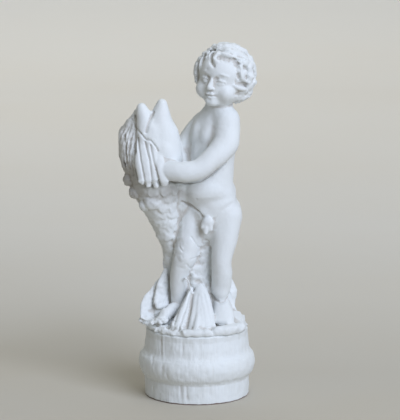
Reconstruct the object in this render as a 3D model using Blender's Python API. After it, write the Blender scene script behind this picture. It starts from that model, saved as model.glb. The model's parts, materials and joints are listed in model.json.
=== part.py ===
"""Small white statue of a cherub who holds a scaly fish upright, cast in one with its rocky
base, on a turned round plinth.

Metres, +Z up. The origin is the middle of the plinth's underside. The cherub faces -Y and
turns a little towards -X, where the fish is. The statue's own forms are written in parts,
66 parts to the statue's height, measured from the middle of the plinth's top.
"""

from math import cos, pi, radians, sin

import bmesh
import bpy
import numpy as np
from mathutils import Matrix, Vector, noise

# The turned plinth
PLINTH_RADIUS = 0.0122
PLINTH_HEIGHT = 0.0160
DRUM_RADIUS = 0.0119
SWELLING_RADIUS = 0.0136
SWELLING_FOOT = 0.0044
SWELLING_HEAD = 0.0124
ARRIS = 0.00025
PLINTH_SIDES = 48

# The cast statue
STATUE_HEIGHT = 0.0662
SEAT_GAP = 0.0003
BASE_MARGIN = 0.0003
STATUE_TRIANGLES = 8600

PARTS_HIGH = 66.2
PART = STATUE_HEIGHT / PARTS_HIGH
VOXEL = 0.42
SEED_STEP = 37.3


def smooth_rows(rows, steps):
    """The stations of a form joined by a smooth curve through every one of them."""
    rows = np.array(rows, float)
    padded = np.vstack([2 * rows[0] - rows[1], rows, 2 * rows[-1] - rows[-2]])
    found = []
    for i in range(len(rows) - 1):
        a, b, c, d = padded[i : i + 4]
        for t in np.arange(steps) / steps:
            found.append(
                0.5 * (2 * b + (c - a) * t + (2 * a - 5 * b + 4 * c - d) * t**2
                       + (3 * b - a - 3 * c + d) * t**3)
            )
    found.append(rows[-1])
    return np.array(found)


class Clay:
    """A lump of clay: forms are laid on, fused into one skin, softened and carved."""

    def __init__(self):
        self.bm = bmesh.new()

    def ball(self, centre, radii, frame=Matrix(), detail=3):
        """An ellipsoid. A frame sets it in the head's own directions, for instance."""
        radii = radii if isinstance(radii, tuple) else (radii,) * 3
        place = frame @ Matrix.LocRotScale(Vector(centre), None, Vector(radii))
        bmesh.ops.create_icosphere(self.bm, subdivisions=detail, radius=1, matrix=place)

    def tube(self, stations, broad=(1, 0, 0), sides=14, steps=4, frame=Matrix(), dome=1.0):
        """A round-ended limb through stations of x, y, z, radius, with a second radius and a
        twist in degrees where it isn't round. Broad is where its first radius points, and
        dome is how far its ends swell, as a share of the radius there."""
        full = [tuple(s) + ((s[3],) if len(s) == 4 else ()) + ((0,) if len(s) < 6 else ())
                for s in stations]
        rows = smooth_rows(full, steps)
        centres = [frame @ Vector(r[:3]) for r in rows]
        across = (frame.to_3x3() @ Vector(broad)).normalized()
        rings = []
        for i, (row, centre) in enumerate(zip(rows, centres)):
            ahead = centres[min(i + 1, len(rows) - 1)] - centres[max(i - 1, 0)]
            ahead.normalize()
            across = (across - ahead * across.dot(ahead)).normalized()
            thin = ahead.cross(across)
            turn = radians(row[5])
            u = across * cos(turn) + thin * sin(turn)
            rings.append((centre, ahead, u, ahead.cross(u), max(row[3], 0.05), max(row[4], 0.05)))
        first, last = rings[0], rings[-1]
        cap = [radians(a) for a in (72, 50, 25)]
        loops = [self._ring(first, sides, cos(a), -sin(a) * dome) for a in cap]
        loops += [self._ring(r, sides, 1, 0) for r in rings]
        loops += [self._ring(last, sides, cos(a), sin(a) * dome) for a in reversed(cap)]
        for low, high in zip(loops, loops[1:]):
            for j in range(sides):
                k = (j + 1) % sides
                self.bm.faces.new((low[j], low[k], high[k], high[j]))
        self.bm.faces.new(list(reversed(loops[0])))
        self.bm.faces.new(loops[-1])

    def _ring(self, ring, sides, share, rise):
        centre, ahead, u, v, wide, deep = ring
        middle = centre + ahead * (rise * min(wide, deep))
        return [
            self.bm.verts.new(
                middle
                + u * (wide * share * cos(2 * pi * j / sides))
                + v * (deep * share * sin(2 * pi * j / sides))
            )
            for j in range(sides)
        ]

    def add(self, other):
        """Lays another lump's forms on this one."""
        mesh = bpy.data.meshes.new("lump")
        other.bm.to_mesh(mesh)
        self.bm.from_mesh(mesh)
        bpy.data.meshes.remove(mesh)

    def fuse(self, voxel, softening):
        """One closed skin over all the forms, its creases softened by so many passes."""
        obj = self.to_object("lump")
        remesh = obj.modifiers.new("One skin", "REMESH")
        remesh.mode = "VOXEL"
        remesh.voxel_size = voxel
        smooth = obj.modifiers.new("Soften", "SMOOTH")
        smooth.factor = 0.5
        smooth.iterations = softening
        self.take(obj)

    def thin_out(self, triangles):
        """Fewer faces, kept where the carving is."""
        bmesh.ops.triangulate(self.bm, faces=self.bm.faces)
        share = triangles / len(self.bm.faces)
        obj = self.to_object("lump")
        obj.modifiers.new("Fewer faces", "DECIMATE").ratio = share
        self.take(obj)

    def take(self, obj):
        """Puts an object's evaluated mesh in place of the forms, and removes the object."""
        graph = bpy.context.evaluated_depsgraph_get()
        mesh = bpy.data.meshes.new_from_object(obj.evaluated_get(graph))
        self.bm.clear()
        self.bm.from_mesh(mesh)
        old = obj.data
        bpy.data.objects.remove(obj)
        bpy.data.meshes.remove(old)
        bpy.data.meshes.remove(mesh)
        self.keep_outer_skin()

    def keep_outer_skin(self):
        """Drops every skin but the one with the most points, such as a pocket's inner one."""
        self.bm.verts.ensure_lookup_table()
        seen = [False] * len(self.bm.verts)
        skins = []
        for start in self.bm.verts:
            if seen[start.index]:
                continue
            seen[start.index] = True
            skin, reach = [start], [start]
            while reach:
                for edge in reach.pop().link_edges:
                    for vert in edge.verts:
                        if not seen[vert.index]:
                            seen[vert.index] = True
                            skin.append(vert)
                            reach.append(vert)
            skins.append(skin)
        skins.sort(key=len)
        for skin in skins[:-1]:
            bmesh.ops.delete(self.bm, geom=skin, context="VERTS")

    def carve(self, *strokes):
        """Moves each point of the skin by what every stroke says of it and its outward side."""
        self.bm.normal_update()
        points = np.array([v.co for v in self.bm.verts])
        outward = np.array([v.normal for v in self.bm.verts])
        moved = points + sum(stroke(points, outward) for stroke in strokes)
        for vert, place in zip(self.bm.verts, moved):
            vert.co = place

    def to_object(self, name):
        mesh = bpy.data.meshes.new(name)
        self.bm.to_mesh(mesh)
        obj = bpy.data.objects.new(name, mesh)
        bpy.context.scene.collection.objects.link(obj)
        return obj


def press(centre, radius, depth, frame=Matrix()):
    """A stroke that pushes the skin in by depth at centre, and out where depth is negative."""
    middle = np.array(frame @ Vector(centre))

    def stroke(points, outward):
        near = np.clip(1 - ((points - middle) ** 2).sum(1) / radius**2, 0, None)
        return -outward * (depth * near * near)[:, None]

    return stroke


def crease(way, radius, depth, frame=Matrix()):
    """A stroke that cuts a soft line of this depth along the points of a way."""
    spots = [np.array(frame @ Vector(p)) for p in way]

    def stroke(points, outward):
        gaps = []
        for a, b in zip(spots, spots[1:]):
            along = np.clip((points - a) @ (b - a) / ((b - a) @ (b - a)), 0, 1)
            gaps.append(((points - a - along[:, None] * (b - a)) ** 2).sum(1))
        near = np.clip(1 - np.min(gaps, axis=0) / radius**2, 0, None)
        return -outward * (depth * near * near)[:, None]

    return stroke


# The head's own directions: x to the cherub's left, -y ahead, z up
HEAD = (
    Matrix.Translation((5.9, -1.1, 58.1))
    @ Matrix.Rotation(radians(8), 4, "Y")
    @ Matrix.Rotation(radians(-28), 4, "Z")
    @ Matrix.Rotation(radians(3), 4, "X")
)
SKULL = Vector((6.2, 6.2, 6.2))
SKULL_CENTRE = Vector((0, 1.2, 1.1))


def shape_trunk(clay):
    """Hips square to the front, shoulders turned to the fish."""
    clay.tube(
        [
            (3.3, 0.3, 22.8, 4.4, 3.5, -22),
            (3.4, 0.3, 26.5, 6.2, 4.6, -25),
            (3.2, 0.1, 30.5, 6.0, 4.8, -28),
            (3.1, 0.0, 34.5, 5.5, 4.9, -32),
            (3.5, 0.2, 39.0, 5.5, 4.6, -38),
            (3.9, 0.3, 43.5, 5.8, 4.3, -44),
            (4.2, 0.2, 47.6, 5.4, 3.8, -46),
            (4.9, 0.0, 50.6, 3.6, 3.0, -38),
            (5.6, -0.3, 54.0, 2.9, 2.8, -30),
        ],
        sides=24,
    )
    clay.ball((2.2, -1.0, 32.0), (6.0, 5.2, 5.2))
    clay.ball((6.8, 1.3, 26.4), (3.7, 3.6, 4.6))
    clay.ball((2.5, 3.3, 26.4), (3.7, 3.6, 4.6))
    clay.ball((4.4, 2.2, 31.0), (4.8, 3.2, 4.8))
    clay.ball((3.8, -2.3, 44.9), 2.7)
    clay.ball((0.8, 0.1, 44.9), 2.7)
    clay.ball((3.0, 1.3, 49.0), 2.6)
    clay.ball((5.9, -1.7, 50.0), 2.7)


def shape_legs(clay):
    clay.tube(
        [
            (6.9, -0.7, 26.4, 3.75),
            (6.5, -1.7, 22.0, 3.2),
            (6.1, -2.4, 18.6, 2.75),
            (5.7, -2.8, 15.6, 2.3),
            (5.9, -2.2, 12.6, 2.45),
            (6.0, -1.5, 9.8, 2.3),
            (5.8, -1.0, 7.4, 1.9),
            (5.8, -0.6, 4.4, 1.9),
        ]
    )
    clay.tube(
        [
            (-0.3, 1.0, 27.0, 3.5),
            (-1.3, 0.0, 23.4, 3.15),
            (-1.8, -1.0, 20.0, 3.2),
            (-2.9, -1.7, 16.4, 2.85),
            (-3.9, -1.3, 13.2, 2.25),
            (-4.0, -0.7, 9.6, 2.15),
            (-4.0, -0.2, 6.6, 1.85),
            (-4.0, 0.2, 4.2, 1.85),
        ]
    )
    clay.ball((5.6, -4.0, 15.8), 1.5)
    clay.ball((-2.6, -3.2, 17.4), 1.9)


def shape_foot(clay, heel, toe_tip, toes_side):
    """A chubby foot from heel to toe tip, with its big toe on the side given."""
    heel, toe_tip = Vector(heel), Vector(toe_tip)
    ahead = (toe_tip - heel).normalized()
    out = Vector((0, 0, 1)).cross(ahead).normalized() * toes_side
    length = (toe_tip - heel).length
    clay.tube(
        [
            (*heel, 1.7, 1.6),
            (*(heel + ahead * length * 0.35 + Vector((0, 0, 0.6))), 1.7, 1.7),
            (*(heel + ahead * length * 0.65 + Vector((0, 0, 0.2))), 2.0, 1.3),
            (*(toe_tip - ahead * 1.5), 1.95, 0.9),
        ],
        broad=out,
        sides=16,
    )
    for i in range(5):
        size = 0.8 if i == 0 else 0.56 - 0.03 * i
        root = toe_tip - ahead * (1.7 + 0.25 * i) + out * (1.45 - 0.8 * i - 0.25 * (i > 0))
        tip = root + ahead * (1.75 - 0.22 * i)
        clay.tube([(*root, size), (*tip, size * 0.9)], sides=10)


def shape_arms(clay):
    clay.tube(
        [
            (6.8, -2.4, 48.9, 3.15),
            (6.9, -3.3, 46.3, 3.05),
            (6.6, -4.8, 43.8, 3.1),
            (5.0, -6.4, 41.9, 2.8),
            (2.8, -7.7, 40.1, 2.5),
            (0.3, -8.6, 38.2, 2.35),
            (-3.1, -9.1, 37.6, 2.4),
            (-6.4, -9.0, 37.4, 1.85),
        ],
        broad=(0, 1, 0),
    )
    clay.tube(
        [
            (1.9, 2.9, 47.3, 3.0),
            (-0.3, 3.4, 44.9, 2.8),
            (-2.4, 3.4, 42.4, 2.6),
            (-4.8, 3.2, 40.8, 2.35),
            (-8.0, 3.4, 40.0, 2.2),
            (-10.8, 2.9, 40.2, 1.8),
        ],
        broad=(0, 1, 0),
    )


def shape_hand(clay, palm, ahead, up):
    """A small plump hand laid flat on the fish: palm, four fingers and a thumb."""
    palm, ahead, up = Vector(palm), Vector(ahead).normalized(), Vector(up).normalized()
    inward = ahead.cross(up)
    clay.tube(
        [(*(palm - ahead * 1.6), 1.5, 1.1), (*palm, 1.75, 0.95), (*(palm + ahead * 1.1), 1.7, 0.75)],
        broad=up,
    )
    for i in range(4):
        root = palm + ahead * 1.2 + up * (1.35 - 0.9 * i)
        tip = root + ahead * (2.5 - 0.35 * abs(i - 1.2)) + inward * 0.45 + up * (0.25 - 0.17 * i)
        clay.tube([(*root, 0.6), (*((root + tip) / 2 + inward * 0.1), 0.56), (*tip, 0.46)], sides=10)
    root = palm + up * 1.3
    clay.tube([(*root, 0.75), (*(root + up * 1.3 + ahead * 1.1), 0.55)], sides=10)


def shape_head(clay):
    clay.ball((0, 0.9, 1.1), (5.9, 6.1, 5.9), HEAD)
    clay.ball((0, -1.1, 1.9), (5.0, 4.6, 4.3), HEAD)
    clay.ball((0, -1.0, -1.8), (5.2, 4.5, 4.4), HEAD)
    clay.ball((0, -3.5, -2.9), (2.3, 2.2, 1.9), HEAD)
    clay.ball((0, -4.0, -4.7), (1.8, 1.7, 1.3), HEAD)
    for side in (-1, 1):
        clay.ball((2.6 * side, -2.8, -2.4), (2.4, 2.4, 2.3), HEAD)


def shape_face(clay):
    """A calm, generic child's face: eyes on the middle line, short nose, small mouth."""
    clay.tube([(0, -5.3, 0.7, 0.5), (0, -5.8, -0.6, 0.55), (0, -6.2, -1.4, 0.72)],
              sides=10, frame=HEAD)
    for side in (-1, 1):
        clay.ball((0.6 * side, -5.7, -1.65), (0.5, 0.55, 0.42), HEAD)
        clay.ball((2.0 * side, -4.5, 0.2), (1.05, 0.85, 0.78), HEAD)
        clay.tube([(0.9 * side, -5.2, 1.35, 0.3), (2.1 * side, -5.05, 1.7, 0.4),
                   (3.3 * side, -4.35, 1.35, 0.3)], sides=8, frame=HEAD)
    clay.tube([(-1.1, -5.2, -2.95, 0.25), (0, -5.6, -2.85, 0.45), (1.1, -5.2, -2.95, 0.25)],
              sides=8, frame=HEAD)
    clay.tube([(-0.8, -5.15, -3.5, 0.25), (0, -5.4, -3.6, 0.45), (0.8, -5.15, -3.5, 0.25)],
              sides=8, frame=HEAD)


def on_skull(bearing, height, lift):
    """A point over the skull: bearing from the face round to the left, height above its middle."""
    flat = cos(radians(height))
    way = Vector((sin(radians(bearing)) * flat, -cos(radians(bearing)) * flat, sin(radians(height))))
    return SKULL_CENTRE + Vector(w * (s + lift) for w, s in zip(way, SKULL))


def shape_curl(clay, bearing, height, size):
    """A knob of hair: one lock wound in a ring round a small bud."""
    middle = on_skull(bearing, height, 0.3)
    out = (middle - SKULL_CENTRE).normalized()
    side = out.cross(Vector((0, 0, 1))).normalized()
    up = side.cross(out)
    start = radians(SEED_STEP * (bearing + height))
    ring = []
    for i in range(9):
        turn = start + 2 * pi * 1.05 * i / 8
        reach = size * (1.05 - 0.2 * i / 8)
        ring.append((*(middle + (side * cos(turn) + up * sin(turn)) * reach), 0.5))
    clay.tube(ring, sides=8, steps=1, frame=HEAD)
    clay.ball(middle + out * 0.35, (0.5, 0.5, 0.5), HEAD, detail=2)


# Rows of curls: height above the skull's middle, how many, and the bearings they keep to
CURL_ROWS = (
    (38, 8, 66),
    (15, 11, 54),
    (-8, 11, 52),
    (-30, 9, 66),
    (-50, 6, 88),
    (-64, 4, 104),
)

# Waves combed over the crown from the forelock: bearing and height along each
WAVES = (
    ((-10, 28), (6, 32), (24, 39), (44, 36), (62, 26), (72, 12)),
    ((-12, 46), (10, 50), (36, 57), (64, 50), (88, 38)),
    ((-20, 64), (30, 72), (80, 70), (112, 58), (126, 46)),
    ((-70, 84), (170, 82), (160, 66), (168, 48)),
    ((-52, 62), (-98, 70), (-140, 64), (-154, 48)),
    ((-30, 42), (-56, 50), (-84, 52), (-112, 44), (-124, 34)),
    ((-22, 26), (-40, 32), (-58, 31), (-70, 22)),
)


def shape_hair(clay):
    clay.ball((0, 1.5, 1.2), (6.0, 5.9, 6.0), HEAD)
    for row, (height, count, clear) in enumerate(CURL_ROWS):
        span = 360 - 2 * clear
        for i in range(count):
            sway = sin(SEED_STEP * (i + 3 * row))
            bearing = clear + span * (i + 0.5) / count + 6 * (row % 2) + 3 * sway
            shape_curl(clay, bearing, height + 4 * (i % 2) + 3 * sway, 0.95 + 0.12 * sway)
    for wave in WAVES:
        spots = [on_skull(bearing, height, 0.35) for bearing, height in wave]
        clay.tube([(*spot, 0.7) for spot in spots], sides=10, steps=5, frame=HEAD)
    shape_curl(clay, -8, 32, 0.9)


# The fish's middle line from its throat down to its tail: x, y, z, half width, half depth
FISH_LINE = (
    (-9.9, -3.8, 46.5, 3.9, 4.0),
    (-10.0, -3.5, 42.5, 5.4, 4.9),
    (-10.0, -3.1, 38.0, 5.8, 5.1),
    (-9.5, -2.3, 33.5, 5.2, 4.8),
    (-8.7, -1.2, 29.6, 4.4, 4.2),
    (-7.6, 0.0, 25.2, 3.2, 3.4),
    (-6.6, 1.2, 21.0, 2.3, 2.7),
    (-6.1, 2.2, 18.0, 1.6, 2.0),
    (-6.3, 2.8, 15.0, 1.3, 1.6),
)


def shape_fish(clay):
    clay.tube(FISH_LINE, sides=24)
    clay.tube([(-7.8, -3.7, 40.6, 4.8, 4.4), (-8.1, -3.9, 45.4, 3.7, 3.7),
               (-8.1, -4.1, 49.2, 2.4, 2.9), (-8.1, -4.1, 52.9, 1.1, 1.4)], sides=18)
    clay.tube([(-12.3, -4.4, 43.0, 1.9, 3.3), (-12.5, -4.5, 47.4, 1.7, 3.0),
               (-12.5, -4.6, 50.4, 1.3, 2.3), (-12.5, -4.6, 52.3, 1.0, 1.5)], sides=14)
    clay.ball((-10.5, -2.6, 47.4), (1.8, 2.2, 2.6))
    clay.tube([(-4.2, 1.6, 40.6, 1.9), (-4.0, 1.0, 36.0, 2.4), (-4.0, 1.2, 29.0, 2.4),
               (-4.0, 1.4, 23.0, 1.9)])
    clay.tube([(-6.3, 2.6, 15.5, 1.35), (-6.4, 2.3, 9.0, 1.4), (-6.3, 1.8, 2.5, 1.8)])
    clay.tube([(-5.0, 3.0, 14.4, 1.2), (-4.2, 3.2, 10.0, 2.3), (-3.8, 2.8, 2.5, 3.0)])
    clay.ball((-6.9, 2.2, 15.5), (1.1, 1.5, 0.8))


def shape_scales(clay):
    """Rows of tiled scales round the fish, half a step apart, their lower ends lifted."""
    line = smooth_rows(FISH_LINE, 8)
    row, height = 0, 17.5
    while height < 35:
        at = min(range(len(line)), key=lambda i: abs(line[i][2] - height))
        x, y, z, wide, deep = line[at]
        size = 0.62 + 0.08 * wide
        count = max(6, round(pi * (wide + deep) / (size * 1.9)))
        for i in range(count):
            turn = 2 * pi * (i + 0.5 * (row % 2)) / count
            place = (
                Matrix.Translation((x + wide * cos(turn), y + deep * sin(turn), z))
                @ Matrix.Rotation(turn, 4, "Z")
                @ Matrix.Rotation(radians(-28), 4, "Y")
            )
            clay.ball((0, 0, 0), (0.58, size, size * 1.2), place, detail=2)
        height += size * 1.55
        row += 1


def shape_pleats(clay, ribs, thick, outward, depth=1.0):
    """A fin's ribs, each a head, a middle, a foot and its half width there, laid side by side.
    Returns the strokes that cut the grooves between them, outward being the side they face."""
    outward = Vector(outward).normalized()
    for head, middle, foot, wide in ribs:
        clay.tube(
            [(*head, wide * 0.6, thick * 0.7), (*middle, wide * 0.9, thick), (*foot, wide, thick)],
            broad=outward.cross(Vector(foot) - Vector(head)),
            sides=12,
        )
    grooves = []
    for (*one, wide), (*other, broad) in zip(ribs, ribs[1:]):
        edge = [Vector(p).lerp(Vector(q), wide / (wide + broad)) for p, q in zip(one, other)]
        way = [Vector(p) + outward * thick * 0.8 for p in smooth_rows(edge, 4)]
        grooves.append(crease(way, max(thick, 0.55) * 1.3, depth * thick))
    return grooves


def fan_ribs(top, bottom, count, bow):
    """Even ribs between a top edge and a bottom edge, each edge given by its two ends."""
    top, bottom, bow = [Vector(p) for p in top], [Vector(p) for p in bottom], Vector(bow)
    half = (bottom[1] - bottom[0]).length / (2 * count - 2)
    ribs = []
    for i in range(count):
        share = i / (count - 1)
        head, foot = top[0].lerp(top[1], share), bottom[0].lerp(bottom[1], share)
        swell = bow * (0.5 + 0.5 * sin(pi * (i + 0.7) / (count + 0.4)))
        ribs.append((head, (head + foot) / 2 + swell, foot + swell * 0.4, half))
    return ribs


# The fin in front: head, middle and foot of each rib, and its half width
FRONT_FIN = (
    ((-13.5, -5.9, 46.8), (-13.4, -7.2, 41.0), (-12.3, -7.9, 35.0), 0.5),
    ((-12.7, -6.8, 45.8), (-12.1, -8.2, 40.6), (-10.9, -8.7, 34.5), 0.9),
    ((-11.0, -7.6, 44.4), (-10.3, -8.7, 40.2), (-9.3, -9.0, 34.7), 0.55),
    ((-9.6, -7.8, 42.8), (-8.4, -8.7, 39.8), (-7.8, -8.9, 35.0), 1.0),
)


def shape_fins(clay):
    """The fin in front, and the longer one that wraps the far side like a mane."""
    clay.tube([(-11.6, -6.2, 45.2, 2.2, 0.7), (-11.2, -7.3, 40.4, 2.9, 0.8),
               (-10.2, -7.7, 35.4, 2.7, 0.7)])
    grooves = shape_pleats(clay, FRONT_FIN, 0.75, (-0.2, -1, 0), 0.5)
    grooves.append(crease(((-14.1, -5.6, 48.2), (-12.2, -7.6, 46.4), (-10.4, -8.3, 45.2),
                           (-8.9, -8.7, 43.6), (-8.0, -8.8, 41.8)), 0.8, 0.6))
    clay.ball((-13.4, -2.8, 43.4), (3.8, 4.6, 7.0))
    spokes = []
    for i in range(7):
        turn = radians(240 - 24 * i)
        way = Vector((cos(turn), sin(turn), 0))
        head = Vector((-13.0 + 1.2 * cos(turn), -3.6 + 2.6 * sin(turn), 50.4))
        middle = Vector((-11.5 + 5.6 * cos(turn), -2.6 + 5.3 * sin(turn), 44.8))
        foot = Vector((-11.2 + 5.0 * cos(turn), -2.4 + 4.8 * sin(turn), 36.2))
        clay.tube([(*head, 0.55, 0.8), (*middle, 0.95, 0.9), (*foot, 0.8, 0.9)],
                  broad=(-way.y, way.x, 0), sides=12)
        spokes.append((head + way * 0.5, middle + way * 0.7, foot + way * 0.7))
    for one, other in zip(spokes, spokes[1:]):
        grooves.append(crease([(p + q) / 2 for p, q in zip(one, other)], 1.0, 0.8))
    for x, y, z in ((-15.6, -2.6, 35.0), (-14.2, -3.4, 32.3), (-15.0, 1.4, 35.2)):
        clay.ball((x, y, z), (1.6, 1.9, 1.5))
    return grooves


def shape_tail(clay):
    """The tail spread over the base: a fan in front, folds beside the right foot, two leaves
    at the left and one behind the left foot."""
    clay.tube([(0.8, -2.2, 10.2, 0.8, 0.8), (0.8, -5.0, 5.8, 2.2, 1.4), (0.8, -8.4, 1.6, 3.2, 1.2)])
    fan = fan_ribs(((0.2, -2.9, 10.4), (1.5, -2.9, 10.6)), ((-1.8, -9.9, 1.2), (3.6, -10.1, 1.2)),
                   4, (0, -0.9, 1.0))
    grooves = shape_pleats(clay, fan, 0.7, (0, -1, 0.8), 0.7)
    clay.tube([(-3.0, -11.0, 0.8, 0.7, 0.6), (-0.4, -11.3, 0.8, 0.8, 0.7), (2.4, -11.1, 0.8, 0.7, 0.6)],
              broad=(0, 1, 0))
    folds = fan_ribs(((-1.7, -3.4, 8.2), (-0.9, -3.4, 9.2)), ((-5.4, -8.7, 1.6), (-3.0, -9.6, 1.4)),
                     3, (-0.1, -0.5, 0.7))
    grooves += shape_pleats(clay, folds, 0.6, (-0.3, -1, 0.8), 0.9)
    clay.tube([(-7.3, 1.0, 12.6, 0.5, 0.45), (-8.1, 0.5, 9.6, 1.4, 0.7), (-8.5, 0.0, 6.6, 1.85, 0.8),
               (-8.2, -0.4, 4.8, 1.5, 0.7)], broad=(1, -0.4, 0))
    clay.tube([(-8.7, 2.6, 10.4, 0.4, 0.45), (-9.6, 2.3, 7.8, 1.3, 0.65), (-11.1, 1.7, 4.6, 2.2, 0.65),
               (-11.5, 0.9, 2.6, 2.1, 0.6)], broad=(1, -0.3, -0.5))
    grooves.append(crease(((-8.3, -0.1, 11.4), (-9.7, -0.2, 7.4), (-10.2, -0.3, 4.9),
                           (-8.8, -0.9, 3.9), (-7.4, -1.0, 4.0)), 0.8, 0.7))
    for i in range(5):
        top = Vector((-12.9 + 0.85 * i, 0.6 - 0.75 * i, 2.6 - 0.25 * i))
        clay.tube([(*top, 0.5), (*(top + Vector((0.5, -0.4, -1.4 - 0.3 * (i % 2)))), 0.32)], sides=8)
    clay.tube([(7.2, 1.8, 12.6, 0.5, 0.45), (7.7, 1.6, 9.8, 0.9, 0.7), (8.1, 1.4, 7.2, 1.4, 0.75),
               (7.9, 1.3, 5.2, 1.0, 0.7), (8.0, 1.2, 3.4, 1.4, 0.7)], broad=(1, -0.4, 0))
    return grooves


def shape_base(clay):
    """A rough slab on the plinth, with the rock that rises behind and between the legs."""
    reach = (DRUM_RADIUS - BASE_MARGIN) / PART
    floor = SEAT_GAP / PART
    clay.tube([(0, 0, floor, reach), (0, 0, floor + 0.7, reach - 0.2)], sides=40, steps=1, dome=0.06)
    clay.ball((5.3, 0.2, 0.6), (6.0, 7.8, 3.5))
    clay.ball((-3.4, 1.6, 0.6), (7.6, 8.2, 2.4))
    clay.tube([(1.4, 2.6, 0.8, 5.6), (1.6, 2.2, 5.0, 4.2), (1.2, 1.9, 10.0, 3.5),
               (1.7, 2.0, 15.0, 3.1), (2.6, 2.0, 22.0, 2.8)], sides=14)
    for x, y, z, size in ((4.6, 4.4, 3.2, 2.4), (-1.4, 4.6, 5.2, 2.2), (3.4, 3.6, 9.0, 2.0),
                          (-0.2, 3.4, 12.4, 2.1), (2.6, 4.0, 16.4, 1.8), (0.8, 5.6, 1.6, 2.6)):
        clay.ball((x, y, z), size)
    clay.ball((-0.2, -0.8, 13.4), (2.0, 1.9, 3.4))
    clay.tube([(3.9, -10.6, 1.1, 1.15), (7.3, -9.1, 1.2, 1.3), (10.1, -6.2, 1.2, 1.15)])
    clay.ball((-8.6, -6.0, 0.9), (2.4, 2.2, 1.3))
    clay.ball((-8.4, 0.4, 1.8), (2.8, 3.0, 4.0))


def shape_leaf(clay):
    """The small leaf at the groin: five blunt lobes from one stalk."""
    stalk = Vector((2.5, -4.4, 26.4))
    for x, y, z, size in ((1.2, -4.9, 24.6, 0.5), (1.8, -5.2, 23.2, 0.55), (2.7, -5.3, 22.6, 0.6),
                          (3.4, -5.1, 23.8, 0.55), (3.9, -4.7, 25.2, 0.5)):
        tip = Vector((x, y, z))
        clay.tube([(*stalk, 0.6), (*stalk.lerp(tip, 0.5), 0.75), (*tip, size)], sides=8)


def roughness(points, outward):
    """Rock has a broken skin, low down and behind the legs."""
    x, y, z = points.T
    rock = (z < 3.0) | ((y > 0.6) & (z < 20) & (x > -2) & (x < 5))
    lumps = np.zeros(len(points))
    lumps[rock] = [0.6 * noise.noise(Vector(p) * 0.7) for p in points[rock]]
    return outward * lumps[:, None]


def level_seat(points, outward):
    """The underside is cut flat on its seat."""
    rise = np.zeros_like(points)
    rise[:, 2] = np.clip(SEAT_GAP / PART - points[:, 2], 0, None)
    return rise


def build_statue(material):
    """The whole statue, cast in one: cherub, fish, tail and base."""
    flesh = Clay()
    shape_trunk(flesh)
    shape_legs(flesh)
    shape_arms(flesh)
    shape_head(flesh)
    flesh.fuse(VOXEL, 5)

    fish = Clay()
    shape_fish(fish)
    fish.fuse(VOXEL, 4)

    flesh.add(fish)
    shape_base(flesh)
    flesh.fuse(VOXEL, 2)

    shape_foot(flesh, (5.9, -0.2, 3.6), (5.2, -7.9, 3.1), 1)
    shape_foot(flesh, (-3.6, 0.4, 3.2), (-9.2, -5.9, 2.3), -1)
    shape_hand(flesh, (-12.4, 2.0, 40.2), (-0.75, -0.65, -0.1), (0, 0, 1))
    shape_face(flesh)
    shape_hair(flesh)
    shape_scales(flesh)
    grooves = shape_fins(flesh) + shape_tail(flesh)
    shape_leaf(flesh)
    flesh.fuse(VOXEL * 0.8, 1)
    flesh.carve(
        crease(((-3.6, -2.4, 29.4), (-0.9, -4.4, 27.8), (1.4, -5.0, 26.2)), 1.0, 0.5),
        crease(((3.8, -5.0, 26.4), (6.6, -4.4, 28.6), (9.4, -2.2, 30.4)), 1.0, 0.35),
        crease(((-0.2, 0.4, 48.8), (-1.2, -0.6, 45.0), (-2.2, -1.4, 41.4)), 0.9, 0.4),
        crease(((5.9, 4.0, 46.0), (5.6, 4.6, 38.0), (5.0, 4.9, 32.0)), 1.8, 0.45),
        crease(((4.8, 6.2, 30.0), (5.2, 6.0, 27.0), (5.0, 4.8, 23.4)), 1.5, 0.9),
        crease(((-10.4, -6.8, 51.0), (-10.9, -7.6, 48.4), (-11.2, -8.0, 47.0)), 1.0, 0.9),
        *grooves,
        roughness,
    )
    flesh.carve(level_seat)
    flesh.thin_out(STATUE_TRIANGLES)

    statue = flesh.to_object("cherub_with_fish")
    statue.data.transform(Matrix.Scale(PART, 4))
    statue.data.shade_smooth()
    statue.location.z = PLINTH_HEIGHT
    statue.data.materials.append(material)
    return statue


# The swelling's section from the top: share of its height, share of how far it stands out
SWELLING = (
    (0.00, 0.00),
    (0.10, 0.03),
    (0.22, 0.24),
    (0.37, 0.66),
    (0.52, 0.94),
    (0.65, 1.00),
    (0.80, 0.84),
    (0.92, 0.52),
    (1.00, 0.02),
)


def plinth_profile():
    """Radius and height down the turned outside: drum, swelling and foot."""
    outline = [(DRUM_RADIUS - ARRIS, PLINTH_HEIGHT), (DRUM_RADIUS, PLINTH_HEIGHT - ARRIS)]
    for down, out in SWELLING:
        wall = DRUM_RADIUS + (PLINTH_RADIUS - DRUM_RADIUS) * down
        radius = wall + (SWELLING_RADIUS - wall) * out
        outline.append((radius, SWELLING_HEAD + (SWELLING_FOOT - SWELLING_HEAD) * down))
    outline += [(PLINTH_RADIUS, ARRIS), (PLINTH_RADIUS - ARRIS, 0)]
    return outline


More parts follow.
